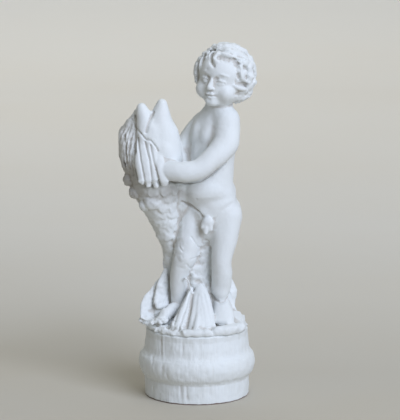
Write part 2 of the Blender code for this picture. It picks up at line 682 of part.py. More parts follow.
def build_plinth(material):
    bm = bmesh.new()
    rings = []
    for radius, height in plinth_profile():
        turns = [2 * pi * i / PLINTH_SIDES for i in range(PLINTH_SIDES)]
        rings.append([bm.verts.new((radius * cos(a), radius * sin(a), height)) for a in turns])
    for high, low in zip(rings, rings[1:]):
        for i in range(PLINTH_SIDES):
            j = (i + 1) % PLINTH_SIDES
            bm.faces.new((high[i], low[i], low[j], high[j]))
    bm.faces.new(rings[0])
    bm.faces.new(list(reversed(rings[-1])))
    bmesh.ops.recalc_face_normals(bm, faces=bm.faces)
    mesh = bpy.data.meshes.new("turned_plinth")
    bm.to_mesh(mesh)
    bm.free()
    mesh.shade_smooth()
    mesh.set_sharp_from_angle(angle=radians(35))
    mesh.materials.append(material)
    plinth = bpy.data.objects.new("turned_plinth", mesh)
    bpy.context.scene.collection.objects.link(plinth)
    return plinth


def paint(name, colour, roughness_value):
    material = bpy.data.materials.new(name)
    material.use_nodes = True
    shader = material.node_tree.nodes["Principled BSDF"]
    shader.inputs["Base Color"].default_value = (*colour, 1)
    shader.inputs["Roughness"].default_value = roughness_value
    shader.inputs["Metallic"].default_value = 0
    return material


def main():
    for obj in list(bpy.data.objects):
        bpy.data.objects.remove(obj)
    build_statue(paint("white_cast", (0.82, 0.83, 0.84), 0.6))
    build_plinth(paint("white_painted_wood", (0.80, 0.81, 0.82), 0.55))


main()
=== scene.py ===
"""Dresses the small white statue of a cherub with a fish: fine carving, paint, stage and light.

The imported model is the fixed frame, in metres, +Z up. The forms of the casting are written in
parts, 66.2 parts to the statue's height, from the middle of the plinth's top. The cherub
faces -Y and turns a little towards -X, where the fish is.
"""

import json
from math import atan2, cos, pi, radians, sin

import bmesh
import bpy
import numpy as np
from bpy.props import FloatProperty, FloatVectorProperty, IntProperty, PointerProperty
from mathutils import Matrix, Vector, noise

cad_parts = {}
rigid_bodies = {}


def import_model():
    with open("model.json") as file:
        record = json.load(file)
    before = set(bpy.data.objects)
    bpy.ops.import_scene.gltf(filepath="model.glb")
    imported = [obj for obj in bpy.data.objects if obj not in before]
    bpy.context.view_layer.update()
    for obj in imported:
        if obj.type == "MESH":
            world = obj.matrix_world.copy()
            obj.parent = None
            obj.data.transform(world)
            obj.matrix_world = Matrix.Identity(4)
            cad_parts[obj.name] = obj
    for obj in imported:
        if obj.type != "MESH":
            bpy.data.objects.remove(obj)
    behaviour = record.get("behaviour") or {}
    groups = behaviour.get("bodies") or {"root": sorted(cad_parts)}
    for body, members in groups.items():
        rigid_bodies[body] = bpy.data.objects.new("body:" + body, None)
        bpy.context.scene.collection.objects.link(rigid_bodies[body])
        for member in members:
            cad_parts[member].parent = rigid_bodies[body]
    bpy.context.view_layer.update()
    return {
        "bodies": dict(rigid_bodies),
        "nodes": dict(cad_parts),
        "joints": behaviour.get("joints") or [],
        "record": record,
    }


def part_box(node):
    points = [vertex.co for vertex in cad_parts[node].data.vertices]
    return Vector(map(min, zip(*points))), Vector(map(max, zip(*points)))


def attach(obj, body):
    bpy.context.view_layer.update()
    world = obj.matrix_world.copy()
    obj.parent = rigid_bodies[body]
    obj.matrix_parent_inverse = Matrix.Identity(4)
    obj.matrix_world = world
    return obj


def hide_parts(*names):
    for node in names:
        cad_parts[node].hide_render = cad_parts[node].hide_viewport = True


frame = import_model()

bl_info = {
    "name": "Cherub Statue",
    "version": (1, 0, 0),
    "blender": (4, 5, 0),
    "location": "3D View > Sidebar > Cherub",
    "description": "Builds a white cherub statue with a fish on its turned plinth",
    "category": "Add Mesh",
}

CAST_LOW, CAST_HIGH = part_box("cherub_with_fish")
PLINTH_LOW, PLINTH_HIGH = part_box("turned_plinth")

# The plinth's top, and the casting's height in parts
SEAT = PLINTH_HIGH.z
PARTS_HIGH = 66.2

# The pits' seed, and the step between the phases of what sways from one form to the next
SEED = 41
SEED_STEP = 37.3

# The most faces that one skin may have, and what the camera looks at
MOST_FACES = 200_000
AIM = (0.00075, 0, 0.0434)


def colour_setting(name, description, default):
    return FloatVectorProperty(
        name=name, description=description, default=default, subtype="COLOR", size=3, min=0, max=1
    )


def length_setting(name, description, default):
    return FloatProperty(
        name=name, description=description, default=default, min=0, unit="LENGTH", precision=5
    )


def amount_setting(name, description, default):
    return FloatProperty(name=name, description=description, default=default, min=0)


class StatueSettings(bpy.types.PropertyGroup):
    """Sizes and colours of the casting."""

    height: length_setting("Height", "From the plinth's top to the crown of the head", 0.0662)
    grain: length_setting("Skin grain", "Size of the finest form that the skin keeps", 0.00018)
    triangles: IntProperty(
        name="Triangles", description="Faces left in the finished skin", default=192000, min=20000
    )
    pits: IntProperty(
        name="Casting pits", description="Small air holes left in the skin", default=70, min=0
    )
    paint: colour_setting("Paint", "Matte white paint", (0.795, 0.825, 0.832))
    # Dust and painted shade that darken the hollows of the casting
    dust_and_shade: colour_setting("Dust", "What has gathered in the hollows", (0.50, 0.46, 0.41))
    # Painted shade, darker and warmer, under the fin and the arm
    under_fin_shade: colour_setting("Soot", "The darker dirt under the fin and the arm", (0.30, 0.27, 0.23))


class PlinthSettings(bpy.types.PropertyGroup):
    """Sizes and colours of the turned plinth."""

    foot: length_setting("Foot radius", "Radius of the lower drum", 0.0122)
    drum: length_setting("Drum radius", "Radius of the upper drum", 0.0119)
    swelling: length_setting("Swelling radius", "Radius at the swelling", PLINTH_HIGH.x)
    swelling_foot: length_setting("Swelling foot", "Height of the swelling's lower edge", 0.0044)
    swelling_head: length_setting("Swelling head", "Height of the swelling's upper edge", 0.0124)
    grain_depth: length_setting("Grain depth", "How deep the wood's grain shows", 0.00007)
    paint: colour_setting("Paint", "Matte white paint", (0.795, 0.825, 0.832))
    # Dust and painted shade that darken the grain, the dents and the corners of the turning
    dust_and_shade: colour_setting("Dust", "What has gathered in the grain", (0.52, 0.47, 0.41))
    wood: colour_setting("Wood", "Bare wood at the bottom edge", (0.16, 0.07, 0.045))


class StageSettings(bpy.types.PropertyGroup):
    """Floor, light and camera."""

    # Painted light: the paper runs from the floor's colour to the wall's paler one towards the back
    floor: colour_setting("Floor", "Pale paper that the statue stands on", (0.542, 0.509, 0.440))
    wall: colour_setting("Wall", "The same paper where it rises behind", (0.839, 0.821, 0.779))
    sky: colour_setting("Fill colour", "Colour of the light from all round", (0.96, 0.975, 0.925))
    sun: colour_setting("Key colour", "Colour of the soft light", (0.74, 0.82, 1.0))
    key: amount_setting("Key light", "Power of the soft light in watts", 14.4)
    fill: amount_setting("Fill light", "Strength of the light from all round", 0.20)
    top: amount_setting("Top light", "Power of the light from above in watts", 5.0)
    wash: amount_setting("Wash light", "Power of the light on the wall in watts", 1.1)
    lens: amount_setting("Lens", "The camera's focal length in mm", 226.3)
    distance: length_setting("Camera distance", "From the camera to the statue's axis", 0.6)
    rise: length_setting("Camera height", "Height of the camera over the floor", 0.156)


def smooth_rows(rows, steps):
    """The stations of a form joined by a smooth curve through every one of them."""
    rows = np.array(rows, float)
    padded = np.vstack([2 * rows[0] - rows[1], rows, 2 * rows[-1] - rows[-2]])
    found = []
    for i in range(len(rows) - 1):
        a, b, c, d = padded[i : i + 4]
        for t in np.arange(steps) / steps:
            found.append(
                0.5 * (2 * b + (c - a) * t + (2 * a - 5 * b + 4 * c - d) * t**2
                       + (3 * b - a - 3 * c + d) * t**3)
            )
    found.append(rows[-1])
    return np.array(found)


def coordinates(mesh, kind="co"):
    """A mesh's points, or their outward sides, as rows of x, y and z."""
    rows = np.empty(len(mesh.vertices) * 3, np.float32)
    if kind == "co":
        mesh.vertices.foreach_get("co", rows)
    else:
        mesh.vertex_normals.foreach_get("vector", rows)
    return rows.reshape(-1, 3).astype(float)


def move_points(mesh, points):
    mesh.vertices.foreach_set("co", points.astype(np.float32).ravel())
    mesh.update()


def mesh_from(bm, name):
    mesh = bpy.data.meshes.new(name)
    bm.to_mesh(mesh)
    return mesh


def show(name, data):
    """An object in the scene for this mesh, light or camera."""
    obj = bpy.data.objects.new(name, data)
    bpy.context.scene.collection.objects.link(obj)
    return obj


def skin_rings(bm, rings):
    """Faces from each ring of points to the next, and one over either end."""
    for low, high in zip(rings, rings[1:]):
        for j in range(len(low)):
            k = (j + 1) % len(low)
            bm.faces.new((low[j], low[k], high[k], high[j]))
    bm.faces.new(list(reversed(rings[0])))
    bm.faces.new(rings[-1])


def unit_ball(detail):
    """Points and faces of a ball of radius 1."""
    bm = bmesh.new()
    bmesh.ops.create_icosphere(bm, subdivisions=detail, radius=1)
    points = [vert.co.copy() for vert in bm.verts]
    faces = [[vert.index for vert in face.verts] for face in bm.faces]
    bm.free()
    return points, faces


BALLS = {detail: unit_ball(detail) for detail in (2, 3)}


class Clay:
    """A lump of clay: forms are laid on, fused into one skin, softened and carved."""

    def __init__(self):
        self.bm = bmesh.new()

    def lay(self, place, detail=3):
        """A ball of radius 1, put in place by a matrix."""
        points, faces = BALLS[detail]
        verts = [self.bm.verts.new(place @ point) for point in points]
        for face in faces:
            self.bm.faces.new([verts[i] for i in face])

    def ball(self, centre, radii, frame=Matrix(), detail=3):
        """An ellipsoid. A frame sets it in the head's own directions, for instance."""
        radii = radii if isinstance(radii, tuple) else (radii,) * 3
        self.lay(frame @ Matrix.LocRotScale(Vector(centre), None, Vector(radii)), detail)

    def balls(self, rows, frame=Matrix()):
        for *centre, radii in rows:
            self.ball(centre, radii, frame)

    def tube(self, stations, broad=(1, 0, 0), sides=16, steps=4, frame=Matrix(), dome=1.0):
        """A round-ended limb through stations of x, y, z, radius, with a second radius and a
        twist in degrees where it isn't round. Broad is where its first radius points, and
        dome is how far its ends swell, as a share of the radius there."""
        full = [tuple(s) + ((s[3],) if len(s) == 4 else ()) + ((0,) if len(s) < 6 else ())
                for s in stations]
        rows = smooth_rows(full, steps)
        centres = [frame @ Vector(r[:3]) for r in rows]
        across = (frame.to_3x3() @ Vector(broad)).normalized()
        rings = []
        for i, (row, centre) in enumerate(zip(rows, centres)):
            ahead = centres[min(i + 1, len(rows) - 1)] - centres[max(i - 1, 0)]
            ahead.normalize()
            across = (across - ahead * across.dot(ahead)).normalized()
            thin = ahead.cross(across)
            turn = radians(row[5])
            u = across * cos(turn) + thin * sin(turn)
            rings.append((centre, ahead, u, ahead.cross(u), max(row[3], 0.05), max(row[4], 0.05)))
        first, last = rings[0], rings[-1]
        cap = [radians(a) for a in (72, 50, 25)]
        loops = [self._ring(first, sides, cos(a), -sin(a) * dome) for a in cap]
        loops += [self._ring(r, sides, 1, 0) for r in rings]
        loops += [self._ring(last, sides, cos(a), sin(a) * dome) for a in reversed(cap)]
        skin_rings(self.bm, loops)

    def _ring(self, ring, sides, share, rise):
        centre, ahead, u, v, wide, deep = ring
        middle = centre + ahead * (rise * min(wide, deep))
        return [
            self.bm.verts.new(
                middle
                + u * (wide * share * cos(2 * pi * j / sides))
                + v * (deep * share * sin(2 * pi * j / sides))
            )
            for j in range(sides)
        ]

    def add(self, other):
        """Lays another lump's forms on this one."""
        mesh = mesh_from(other.bm, "lump")
        self.bm.from_mesh(mesh)
        bpy.data.meshes.remove(mesh)

    def fuse(self, voxel, softening):
        """One closed skin over all the forms, its creases softened by so many passes."""
        obj = self.to_object("lump")
        remesh = obj.modifiers.new("One skin", "REMESH")
        remesh.mode = "VOXEL"
        remesh.voxel_size = voxel
        smooth = obj.modifiers.new("Soften", "SMOOTH")
        smooth.factor = 0.5
        smooth.iterations = softening
        self.take(obj)

    def thin_out(self, triangles):
        """Fewer faces, kept where the carving is."""
        bmesh.ops.triangulate(self.bm, faces=self.bm.faces)
        share = triangles / len(self.bm.faces)
        if share < 1:
            obj = self.to_object("lump")
            obj.modifiers.new("Fewer faces", "DECIMATE").ratio = share
            self.take(obj)

    def take(self, obj):
        """Puts an object's evaluated mesh in place of the forms, and removes the object."""
        graph = bpy.context.evaluated_depsgraph_get()
        mesh = bpy.data.meshes.new_from_object(obj.evaluated_get(graph))
        old = obj.data
        bpy.data.objects.remove(obj)
        bpy.data.meshes.remove(old)
        self.become(mesh)
        self.keep_outer_skin()

    def become(self, mesh):
        """Puts a mesh in place of the forms, and removes it."""
        self.bm.clear()
        self.bm.from_mesh(mesh)
        bpy.data.meshes.remove(mesh)

    def keep_outer_skin(self):
        """Drops every skin but the one with the most points, such as a pocket's inner one."""
        self.bm.verts.ensure_lookup_table()
        seen = [False] * len(self.bm.verts)
        skins = []
        for start in self.bm.verts:
            if seen[start.index]:
                continue
            seen[start.index] = True
            skin, reach = [start], [start]
            while reach:
                for edge in reach.pop().link_edges:
                    for vert in edge.verts:
                        if not seen[vert.index]:
                            seen[vert.index] = True
                            skin.append(vert)
                            reach.append(vert)
            skins.append(skin)
        skins.sort(key=len)
        for skin in skins[:-1]:
            bmesh.ops.delete(self.bm, geom=skin, context="VERTS")

    def carve(self, *strokes):
        """Moves each point of the skin by what every stroke says of it and its outward side."""
        mesh = mesh_from(self.bm, "lump")
        points, outward = coordinates(mesh), coordinates(mesh, "normal")
        move_points(mesh, points + sum(stroke(points, outward) for stroke in strokes))
        self.become(mesh)

    def to_object(self, name):
        return show(name, mesh_from(self.bm, name))


def nearness(points, way, radius):
    """How near each point is to a way through these spots: 1 on it, 0 from radius on."""
    spots = np.array(way, float)
    close = np.all((points > spots.min(0) - radius) & (points < spots.max(0) + radius), axis=1)
    chosen = points[close]
    gaps = [((chosen - spots[0]) ** 2).sum(1)]
    for a, b in zip(spots, spots[1:]):
        along = np.clip((chosen - a) @ (b - a) / ((b - a) @ (b - a)), 0, 1)
        gaps.append(((chosen - a - along[:, None] * (b - a)) ** 2).sum(1))
    near = np.zeros(len(points))
    near[close] = np.clip(1 - np.min(gaps, axis=0) / radius**2, 0, None)
    return near


def press(centre, radius, depth, frame=Matrix()):
    """A stroke that pushes the skin in by depth at centre, and out where depth is negative."""
    return crease([centre], radius, depth, frame)


def crease(way, radius, depth, frame=Matrix()):
    """A stroke that cuts a soft line of this depth along the points of a way."""
    spots = [frame @ Vector(p) for p in way]

    def stroke(points, outward):
        return -outward * (depth * nearness(points, spots, radius) ** 2)[:, None]

    return stroke


def score(way, radius, depth, front, reach=2.6):
    """A line cut from the front, its way given as x and z, on skin within reach of y front."""

    def stroke(points, outward):
        near = nearness(points[:, [0, 2]], way, radius) ** 2
        near *= (np.abs(points[:, 1] - front) < reach) & (outward[:, 1] < 0.25)
        return -outward * (depth * near)[:, None]

    return stroke


def ripple(size, amount, where=None, layers=1):
    """A stroke of soft noise, its lumps of one size, all over or only where a test says."""

    def stroke(points, outward):
        chosen = np.ones(len(points), bool) if where is None else where(*points.T)
        lumps = np.zeros(len(points))
        for layer in range(layers):
            lumps[chosen] += [
                noise.noise(Vector(p) * (2**layer / size)) / 2**layer for p in points[chosen]
            ]
        return outward * (amount * lumps)[:, None]

    return stroke


# The head's own directions: x to the cherub's left, -y ahead, z up
HEAD = (
    Matrix.Translation((5.9, -1.1, 58.1))
    @ Matrix.Rotation(radians(8), 4, "Y")
    @ Matrix.Rotation(radians(-28), 4, "Z")
    @ Matrix.Rotation(radians(3), 4, "X")
)

# The skull's radius and its middle in those directions
SKULL = 6.2
SKULL_CENTRE = Vector((0, 1.2, 1.1))


def shape_trunk(clay):
    """Hips square to the front, shoulders turned to the fish."""
    clay.tube([
        (3.3, 0.3, 22.8, 4.4, 3.5, -22), (3.4, 0.3, 26.5, 6.2, 4.6, -25),
        (3.2, 0.1, 30.5, 6, 4.8, -28), (3.1, 0, 34.5, 5.5, 4.9, -32), (3.5, 0.2, 39, 5.5, 4.6, -38),
        (3.9, 0.3, 43.5, 5.8, 4.3, -44), (4.2, 0.2, 47.6, 5.4, 3.8, -46),
        (4.9, 0, 50.6, 3.6, 3, -38), (5.6, -0.3, 54, 2.9, 2.8, -30)], sides=32)
    clay.balls((
        (2.4, -0.9, 32.6, (5.9, 5, 4.6)), (6.8, 1.3, 26.4, (3.7, 3.6, 4.6)),
        (2.5, 3.3, 26.4, (3.7, 3.6, 4.6)), (4.4, 2.2, 31, (4.8, 3.2, 4.8)),
        (3.2, -1.9, 45, (2.7, 2.3, 3.4)), (0.8, 0.2, 45.2, (2.3, 2.3, 3.6)), (3, 1.3, 49, 2.6),
        (5.9, -1.7, 50, 2.7), (2.4, -2.8, 27.6, (2.6, 1.9, 1.8))))


def shape_legs(clay):
    clay.tube([
        (6.9, -0.7, 26.4, 3.75), (6.5, -1.7, 22, 3.2), (6.1, -2.4, 18.6, 2.75),
        (5.7, -2.8, 15.6, 2.35), (5.8, -2.2, 12.6, 2.5), (5.7, -1.6, 9.8, 2.3),
        (5.5, -1.2, 7.9, 1.95), (5.6, -0.8, 6, 1.75), (5.7, -0.6, 4.2, 1.9)], sides=24)
    clay.tube([
        (-0.3, 1, 27, 3.5), (-1.3, 0, 23.4, 3.15), (-1.8, -1, 20, 3.1), (-2.9, -1.7, 16.4, 2.7),
        (-4, -1.4, 13.2, 2.15), (-4.2, -0.8, 9.6, 2), (-4.3, -0.4, 6.6, 1.75),
        (-4.1, 0, 4.2, 1.85)], sides=24)
    clay.ball((5.6, -3.9, 15.9), (1.6, 1.4, 1.9))
    clay.ball((-2.7, -3, 17), (1.8, 1.7, 2.1))
    clay.ball((5.6, -1.9, 8.9), (2.25, 1.9, 2.5))
    clay.tube([
        (5.7, -1.8, 5.4, 2, 1.7), (6, -3.8, 4.3, 2.5, 1.7), (6.2, -5.7, 3.1, 2.65, 1.4),
        (6.1, -6.9, 2.5, 2.4, 1.1)], sides=24)


def shape_foot(clay, heel, toe_tip, toes_side, plump=1, instep=0.6):
    """A chubby foot from heel to toe tip, with its big toe on the side given."""
    heel, toe_tip = Vector(heel), Vector(toe_tip)
    ahead = (toe_tip - heel).normalized()
    out = Vector((0, 0, 1)).cross(ahead).normalized() * toes_side
    length = (toe_tip - heel).length
    clay.tube([
        (*heel, 1.75, 1.7),
        (*(heel + ahead * length * 0.35 + Vector((0, 0, instep))), 1.75 * plump, 1.6),
        (*(heel + ahead * length * 0.65 + Vector((0, 0, instep * 0.5))), 1.85 * plump, 1.3),
        (*(toe_tip - ahead * 1.4), 1.8 * plump, 1)], broad=out, sides=20)
    for i in range(5):
        size = 0.72 if i == 0 else 0.52 - 0.03 * i
        across = (1.25 - 0.74 * i - 0.2 * (i > 0)) * plump
        root = toe_tip - ahead * (1.8 + 0.22 * i) + out * across
        tip = root + ahead * (1.7 - 0.15 * i)
        clay.tube([(*root, size), (*tip, size * 0.92)], sides=14)


def shape_arms(clay):
    clay.tube([
        (6.8, -2.4, 48.9, 3.15), (6.9, -3.3, 46.3, 3.05), (6.6, -4.8, 43.8, 3.1),
        (5, -6.4, 41.9, 2.8), (2.8, -7.7, 40.1, 2.5), (0.3, -8.5, 38.3, 2.4),
        (-3.1, -8.8, 37.8, 2.4), (-5.8, -8.3, 38, 2.25), (-7.8, -7.5, 38.2, 2.05),
        (-9.4, -6.9, 38.2, 1.8)], broad=(0, 1, 0), sides=24)
    clay.tube([
        (1.9, 2.9, 47.3, 3), (-0.3, 3.4, 44.9, 2.8), (-2.4, 3.4, 42.4, 2.6),
        (-4.8, 3.2, 40.8, 2.35), (-8, 3.4, 40, 2.2), (-10.8, 2.9, 40.2, 1.8)], broad=(0, 1, 0),
        sides=24)


def shape_hand(clay, palm, ahead, up):
    """A small plump hand laid flat on the fish: palm, four fingers and a thumb."""
    palm, ahead, up = Vector(palm), Vector(ahead).normalized(), Vector(up).normalized()
    inward = ahead.cross(up)
    clay.tube([
        (*(palm - ahead * 1.6), 1.5, 1.1), (*palm, 1.75, 0.95), (*(palm + ahead * 1.1), 1.7, 0.75)],
        broad=up)
    for i in range(4):
        root = palm + ahead * 1.2 + up * (1.35 - 0.9 * i)
        tip = root + ahead * (2.5 - 0.35 * abs(i - 1.2)) + inward * 0.45 + up * (0.25 - 0.17 * i)
        clay.tube([(*root, 0.52), (*((root + tip) / 2 + inward * 0.1), 0.48), (*tip, 0.4)], sides=12)
    root = palm + up * 1.3
    clay.tube([(*root, 0.7), (*(root + up * 1.3 + ahead * 1.1), 0.5)], sides=12)


def shape_head(clay):
    clay.balls((
        (0, 0.9, 1.1, (5.9, 6.1, 5.9)), (0, -1.1, 1.9, (5, 4.6, 4.3)),
        (0, -1, -1.8, (5.2, 4.5, 4.4)), (0, -3.5, -2.9, (2.3, 2.2, 1.9)),
        (0, -4, -4.7, (1.8, 1.7, 1.3)), (-2.6, -2.8, -2.4, (2.4, 2.4, 2.3)),
        (2.6, -2.8, -2.4, (2.4, 2.4, 2.3))), HEAD)


def shape_face(clay):
    """A calm, generic child's face: eyes on the middle line, short nose, small mouth."""
    clay.tube([
        (0, -5.15, 0.9, 0.42), (0, -5.55, -0.3, 0.5), (0, -6.1, -1.25, 0.62)], sides=14, frame=HEAD)
    clay.ball((0, -6.1, -1.4), (0.68, 0.6, 0.58), HEAD)
    for side in (-1, 1):
        clay.ball((0.6 * side, -5.65, -1.5), (0.44, 0.52, 0.4), HEAD)
        clay.ball((2 * side, -4.5, 0.1), (0.9, 0.75, 0.5), HEAD)
        lid = [(1.05, -5.1, 0.15), (1.5, -5.22, 0.52), (2.2, -5.05, 0.6), (3, -4.4, 0.15)]
        clay.tube([(x * side, y, z, 0.24) for x, y, z in lid], sides=8, frame=HEAD)
        lower = [(1.2, -5, -0.3), (1.9, -5.08, -0.5), (2.8, -4.5, -0.25)]
        clay.tube([(x * side, y, z, 0.18) for x, y, z in lower], sides=8, frame=HEAD)
        clay.tube([
            (0.9 * side, -5, 1.6, 0.3), (2 * side, -4.95, 1.95, 0.4),
            (3.4 * side, -4.15, 1.6, 0.3)], sides=10, frame=HEAD)
        clay.ball((0.45 * side, -5.5, -2.85), (0.6, 0.42, 0.3), HEAD)
    clay.tube([
        (-1.1, -5.05, -3.05, 0.2), (0, -5.4, -2.98, 0.34), (1.1, -5.05, -3.05, 0.2)], sides=10,
        frame=HEAD)
    clay.tube([
        (-0.75, -5, -3.5, 0.22), (0, -5.35, -3.6, 0.42), (0.75, -5, -3.5, 0.22)], sides=10,
        frame=HEAD)


def face_strokes():
    """The cuts that finish the face: sockets, nostrils, the mouth's line, the chin's fold."""
    strokes = [
        crease([(-1.15, -5.3, -3.2), (0, -5.75, -3.27), (1.15, -5.3, -3.2)], 0.34, 0.26, HEAD),
        press((0, -5.3, -4.25), 0.75, 0.22, HEAD),
        press((0, -5.7, -2.3), 0.42, 0.12, HEAD),
    ]
    for side in (-1, 1):
        strokes += [
            press((1.1 * side, -5.2, 0.75), 0.95, 0.45, HEAD),
            press((2.1 * side, -5.1, 1.1), 1, 0.25, HEAD),
            crease([(1.15 * side, -5.3, 0), (1.9 * side, -5.35, 0.16), (2.9 * side, -4.6, -0.05)],
                   0.3, 0.2, HEAD),
            press((0.36 * side, -6, -1.95), 0.3, 0.2, HEAD),
            press((1.5 * side, -5.05, -3.2), 0.5, 0.18, HEAD),
            press((3 * side, -4.2, -2.2), 1.5, -0.22, HEAD),
        ]
    return strokes


def part_hair(partings):
    """One stroke that parts the hair along every line given, however far it stands out."""
    reach = 7
    lines = [
        ([(on_skull(bearing, height, 0) - SKULL_CENTRE).normalized() * reach
          for bearing, height in smooth_rows(way, 5)], radius, depth)
        for way, radius, depth in partings
    ]
    to_head = np.array(HEAD.inverted())

    def stroke(points, outward):
        local = points @ to_head[:3, :3].T + to_head[:3, 3] - np.array(SKULL_CENTRE)
        far = np.sqrt((local**2).sum(1))
        chosen = (far > 5.2) & (far < 9)
        local = local[chosen] / far[chosen][:, None] * reach
        cut = np.zeros(len(points))
        for spots, radius, depth in lines:
            cut[chosen] += depth * nearness(local, spots, radius) ** 2
        return -outward * cut[:, None]

    return stroke


def on_skull(bearing, height, lift):
    """A point over the skull: bearing from the face round to the left, height above its middle."""
    flat = cos(radians(height))
    way = Vector((sin(radians(bearing)) * flat, -cos(radians(bearing)) * flat, sin(radians(height))))
    return SKULL_CENTRE + way * (SKULL + lift)


def shape_curl(clay, bearing, height, size, lift=0.1):
    """A knob of hair: one lock wound inwards like a snail's shell."""
    middle = on_skull(bearing, height, lift)
    out = (middle - SKULL_CENTRE).normalized()
    side = out.cross(Vector((0, 0, 1))).normalized()
    up = side.cross(out)
    start = radians(SEED_STEP * (bearing + height))
    hand = 1 if sin(start * 3) > 0 else -1
    coil = []
    for i in range(17):
        share = i / 16
        turn = start + hand * 2 * pi * 1.4 * share
        reach = size * (1 - 0.8 * share)
        spot = middle + (side * cos(turn) + up * sin(turn)) * reach + out * (0.55 * size * share)
        coil.append((*spot, size * (0.38 - 0.06 * share)))
    clay.tube(coil, sides=10, steps=1, frame=HEAD)
    place = Matrix((side, up, out)).transposed().to_4x4()
    place.translation = middle
    clay.lay(HEAD @ place @ Matrix.Diagonal((size * 1.1, size * 1.1, size * 0.5, 1)), 2)


def shape_strand(clay, way):
    """A round strand of hair through bearings, heights, lifts and half widths."""
    clay.tube([(*on_skull(*row[:3]), row[3]) for row in way], sides=12, frame=HEAD)


def shape_lock(clay, way, wide, thick):
    """A smooth flat lock of hair along bearings, heights and lifts on the skull."""
    spots = [on_skull(*row) for row in smooth_rows(way, 7)]
    for i, spot in enumerate(spots):
        ahead = (spots[min(i + 1, len(spots) - 1)] - spots[max(i - 1, 0)]).normalized()
        out = (spot - SKULL_CENTRE).normalized()
        side = ahead.cross(out).normalized()
        out = side.cross(ahead)
        share = i / (len(spots) - 1)
        swell = 0.5 + 0.5 * sin(pi * min(1, 0.12 + share * 0.98))
        place = Matrix((side, ahead, out)).transposed().to_4x4()
        place.translation = spot
        clay.lay(HEAD @ place @ Matrix.Diagonal((wide * swell, 0.7, thick * swell, 1)), 2)


# Rows of curls at the back and sides: height, how many, and the bearing they start from
CURL_ROWS = (
    (37, 6, 112), (17, 5, 120), (-4, 5, 122), (-25, 5, 120), (-46, 4, 118), (-64, 3, 126),
)

# Curls beside the face: bearing, height, size and lift
FACE_CURLS = (
    (-34, 34, 0.4, 0.4), (-47, 43, 0.6, 0.35), (-66, 50, 0.75, 0.35), (-60, 37, 0.75, 0.35),
    (-68, 24, 0.8, 0.5), (-62, 8, 0.65, 0.6), (-57, -6, 0.6, 0.65), (-60, -20, 0.65, 0.6),
    (-57, -33, 0.5, 0.55), (-80, 34, 1, 0.3), (-86, 6, 1, 0.4), (-86, -18, 1, 0.3),
    (-80, -42, 1, 0.2), (71, 14, 0.75, 0.15), (92, 26, 1, 0.15), (90, 6, 1.05, 0.2),
    (94, -14, 1.05, 0.25), (84, -26, 0.75, 0.35), (71, -33, 0.75, 0), (90, -46, 1.15, 0.4),
    (106, -34, 1.35, 0.45), (104, -54, 1.2, 0.3), (112, -10, 1.2, 0.3),
)

# Locks over the crown and at the temples: bearing, height and lift along each, half width, thickness
LOCKS = (
    (((-22, 52, 0.1), (-4, 52, 0.35), (12, 51, 0.45), (30, 50, 0.4), (46, 47, 0.3), (64, 44, 0.2),
      (88, 41, 0.1)), 0.75, 0.6),
    (((-44, 63, 0.55), (-24, 72, 0.55), (20, 77, 0.45), (70, 68, 0.35), (92, 54, 0.2)), 1.25, 0.75),
    (((-80, 80, 0.3), (60, 84, 0.4), (104, 72, 0.4), (124, 56, 0.4), (130, 38, 0.2)), 1.4, 0.75),
    (((-100, 76, 0.3), (150, 82, 0.4), (150, 66, 0.4), (160, 50, 0.2)), 1.3, 0.7),
    (((-70, 74, 0.3), (-110, 70, 0.4), (-150, 66, 0.4), (-166, 48, 0.2)), 1.3, 0.7),
    (((-56, 60, 0.2), (-84, 58, 0.4), (-112, 52, 0.4), (-132, 42, 0.2)), 1, 0.7),
    (((-20, 61, 0.2), (10, 62, 0.35), (40, 60, 0.35), (74, 56, 0.3), (98, 44, 0.2)), 1, 0.7),
    (((52, 44, 0), (72, 38, 0.2), (88, 30, 0.25), (98, 16, 0.2)), 1, 0.7),
    (((64, 36, 0.1), (59, 24, 0.15), (60, 12, 0.15), (66, 2, 0.15), (76, -4, 0.1)), 0.75, 0.55),
    (((46, -14, -0.2), (58, -17, 0.2), (70, -19, 0.35), (80, -20, 0.3), (90, -14, 0.2)), 0.6, 0.7),
    (((104, 40, 0.1), (116, 22, 0.25), (120, 4, 0.3), (118, -16, 0.2)), 1.1, 0.8),
    (((84, 26, 0.1), (90, 10, 0.3), (86, -6, 0.3), (84, -16, 0.2)), 0.7, 0.6),
    (((-74, 34, 0.2), (-72, 16, 0.45), (-63, 0, 0.55), (-62, -18, 0.55), (-60, -36, 0.3)), 0.9, 0.75),
    (((54, -40, -0.2), (66, -44, 0.1), (80, -48, 0.3), (96, -50, 0.2)), 0.9, 0.7),
)

# What fills the mass of hair beside the neck: bearing, height and size
HAIR_FILL = ((76, -36, 0.9), (86, -42, 1.15), (98, -38, 1.35), (108, -45, 1.5), (104, -22, 1.1))

# Strands at the brow: bearing, height, lift and half width along each
STRANDS = (
    ((14, 51, 0.35, 0.4), (-1, 48, 0.5, 0.62), (-6, 40, 0.5, 0.68), (1, 32, 0.35, 0.62),
     (11, 28, 0.15, 0.5), (14, 32, 0.25, 0.4)),
    ((-24, 53, 0.3, 0.5), (-28, 43, 0.25, 0.45), (-25, 34, -0.05, 0.4), (-21, 27, -0.4, 0.3)),
    ((-50, 28, 0.3, 0.4), (-46, 18, 0.3, 0.38), (-43, 8, 0.15, 0.32), (-43, -1, -0.15, 0.25)),
)

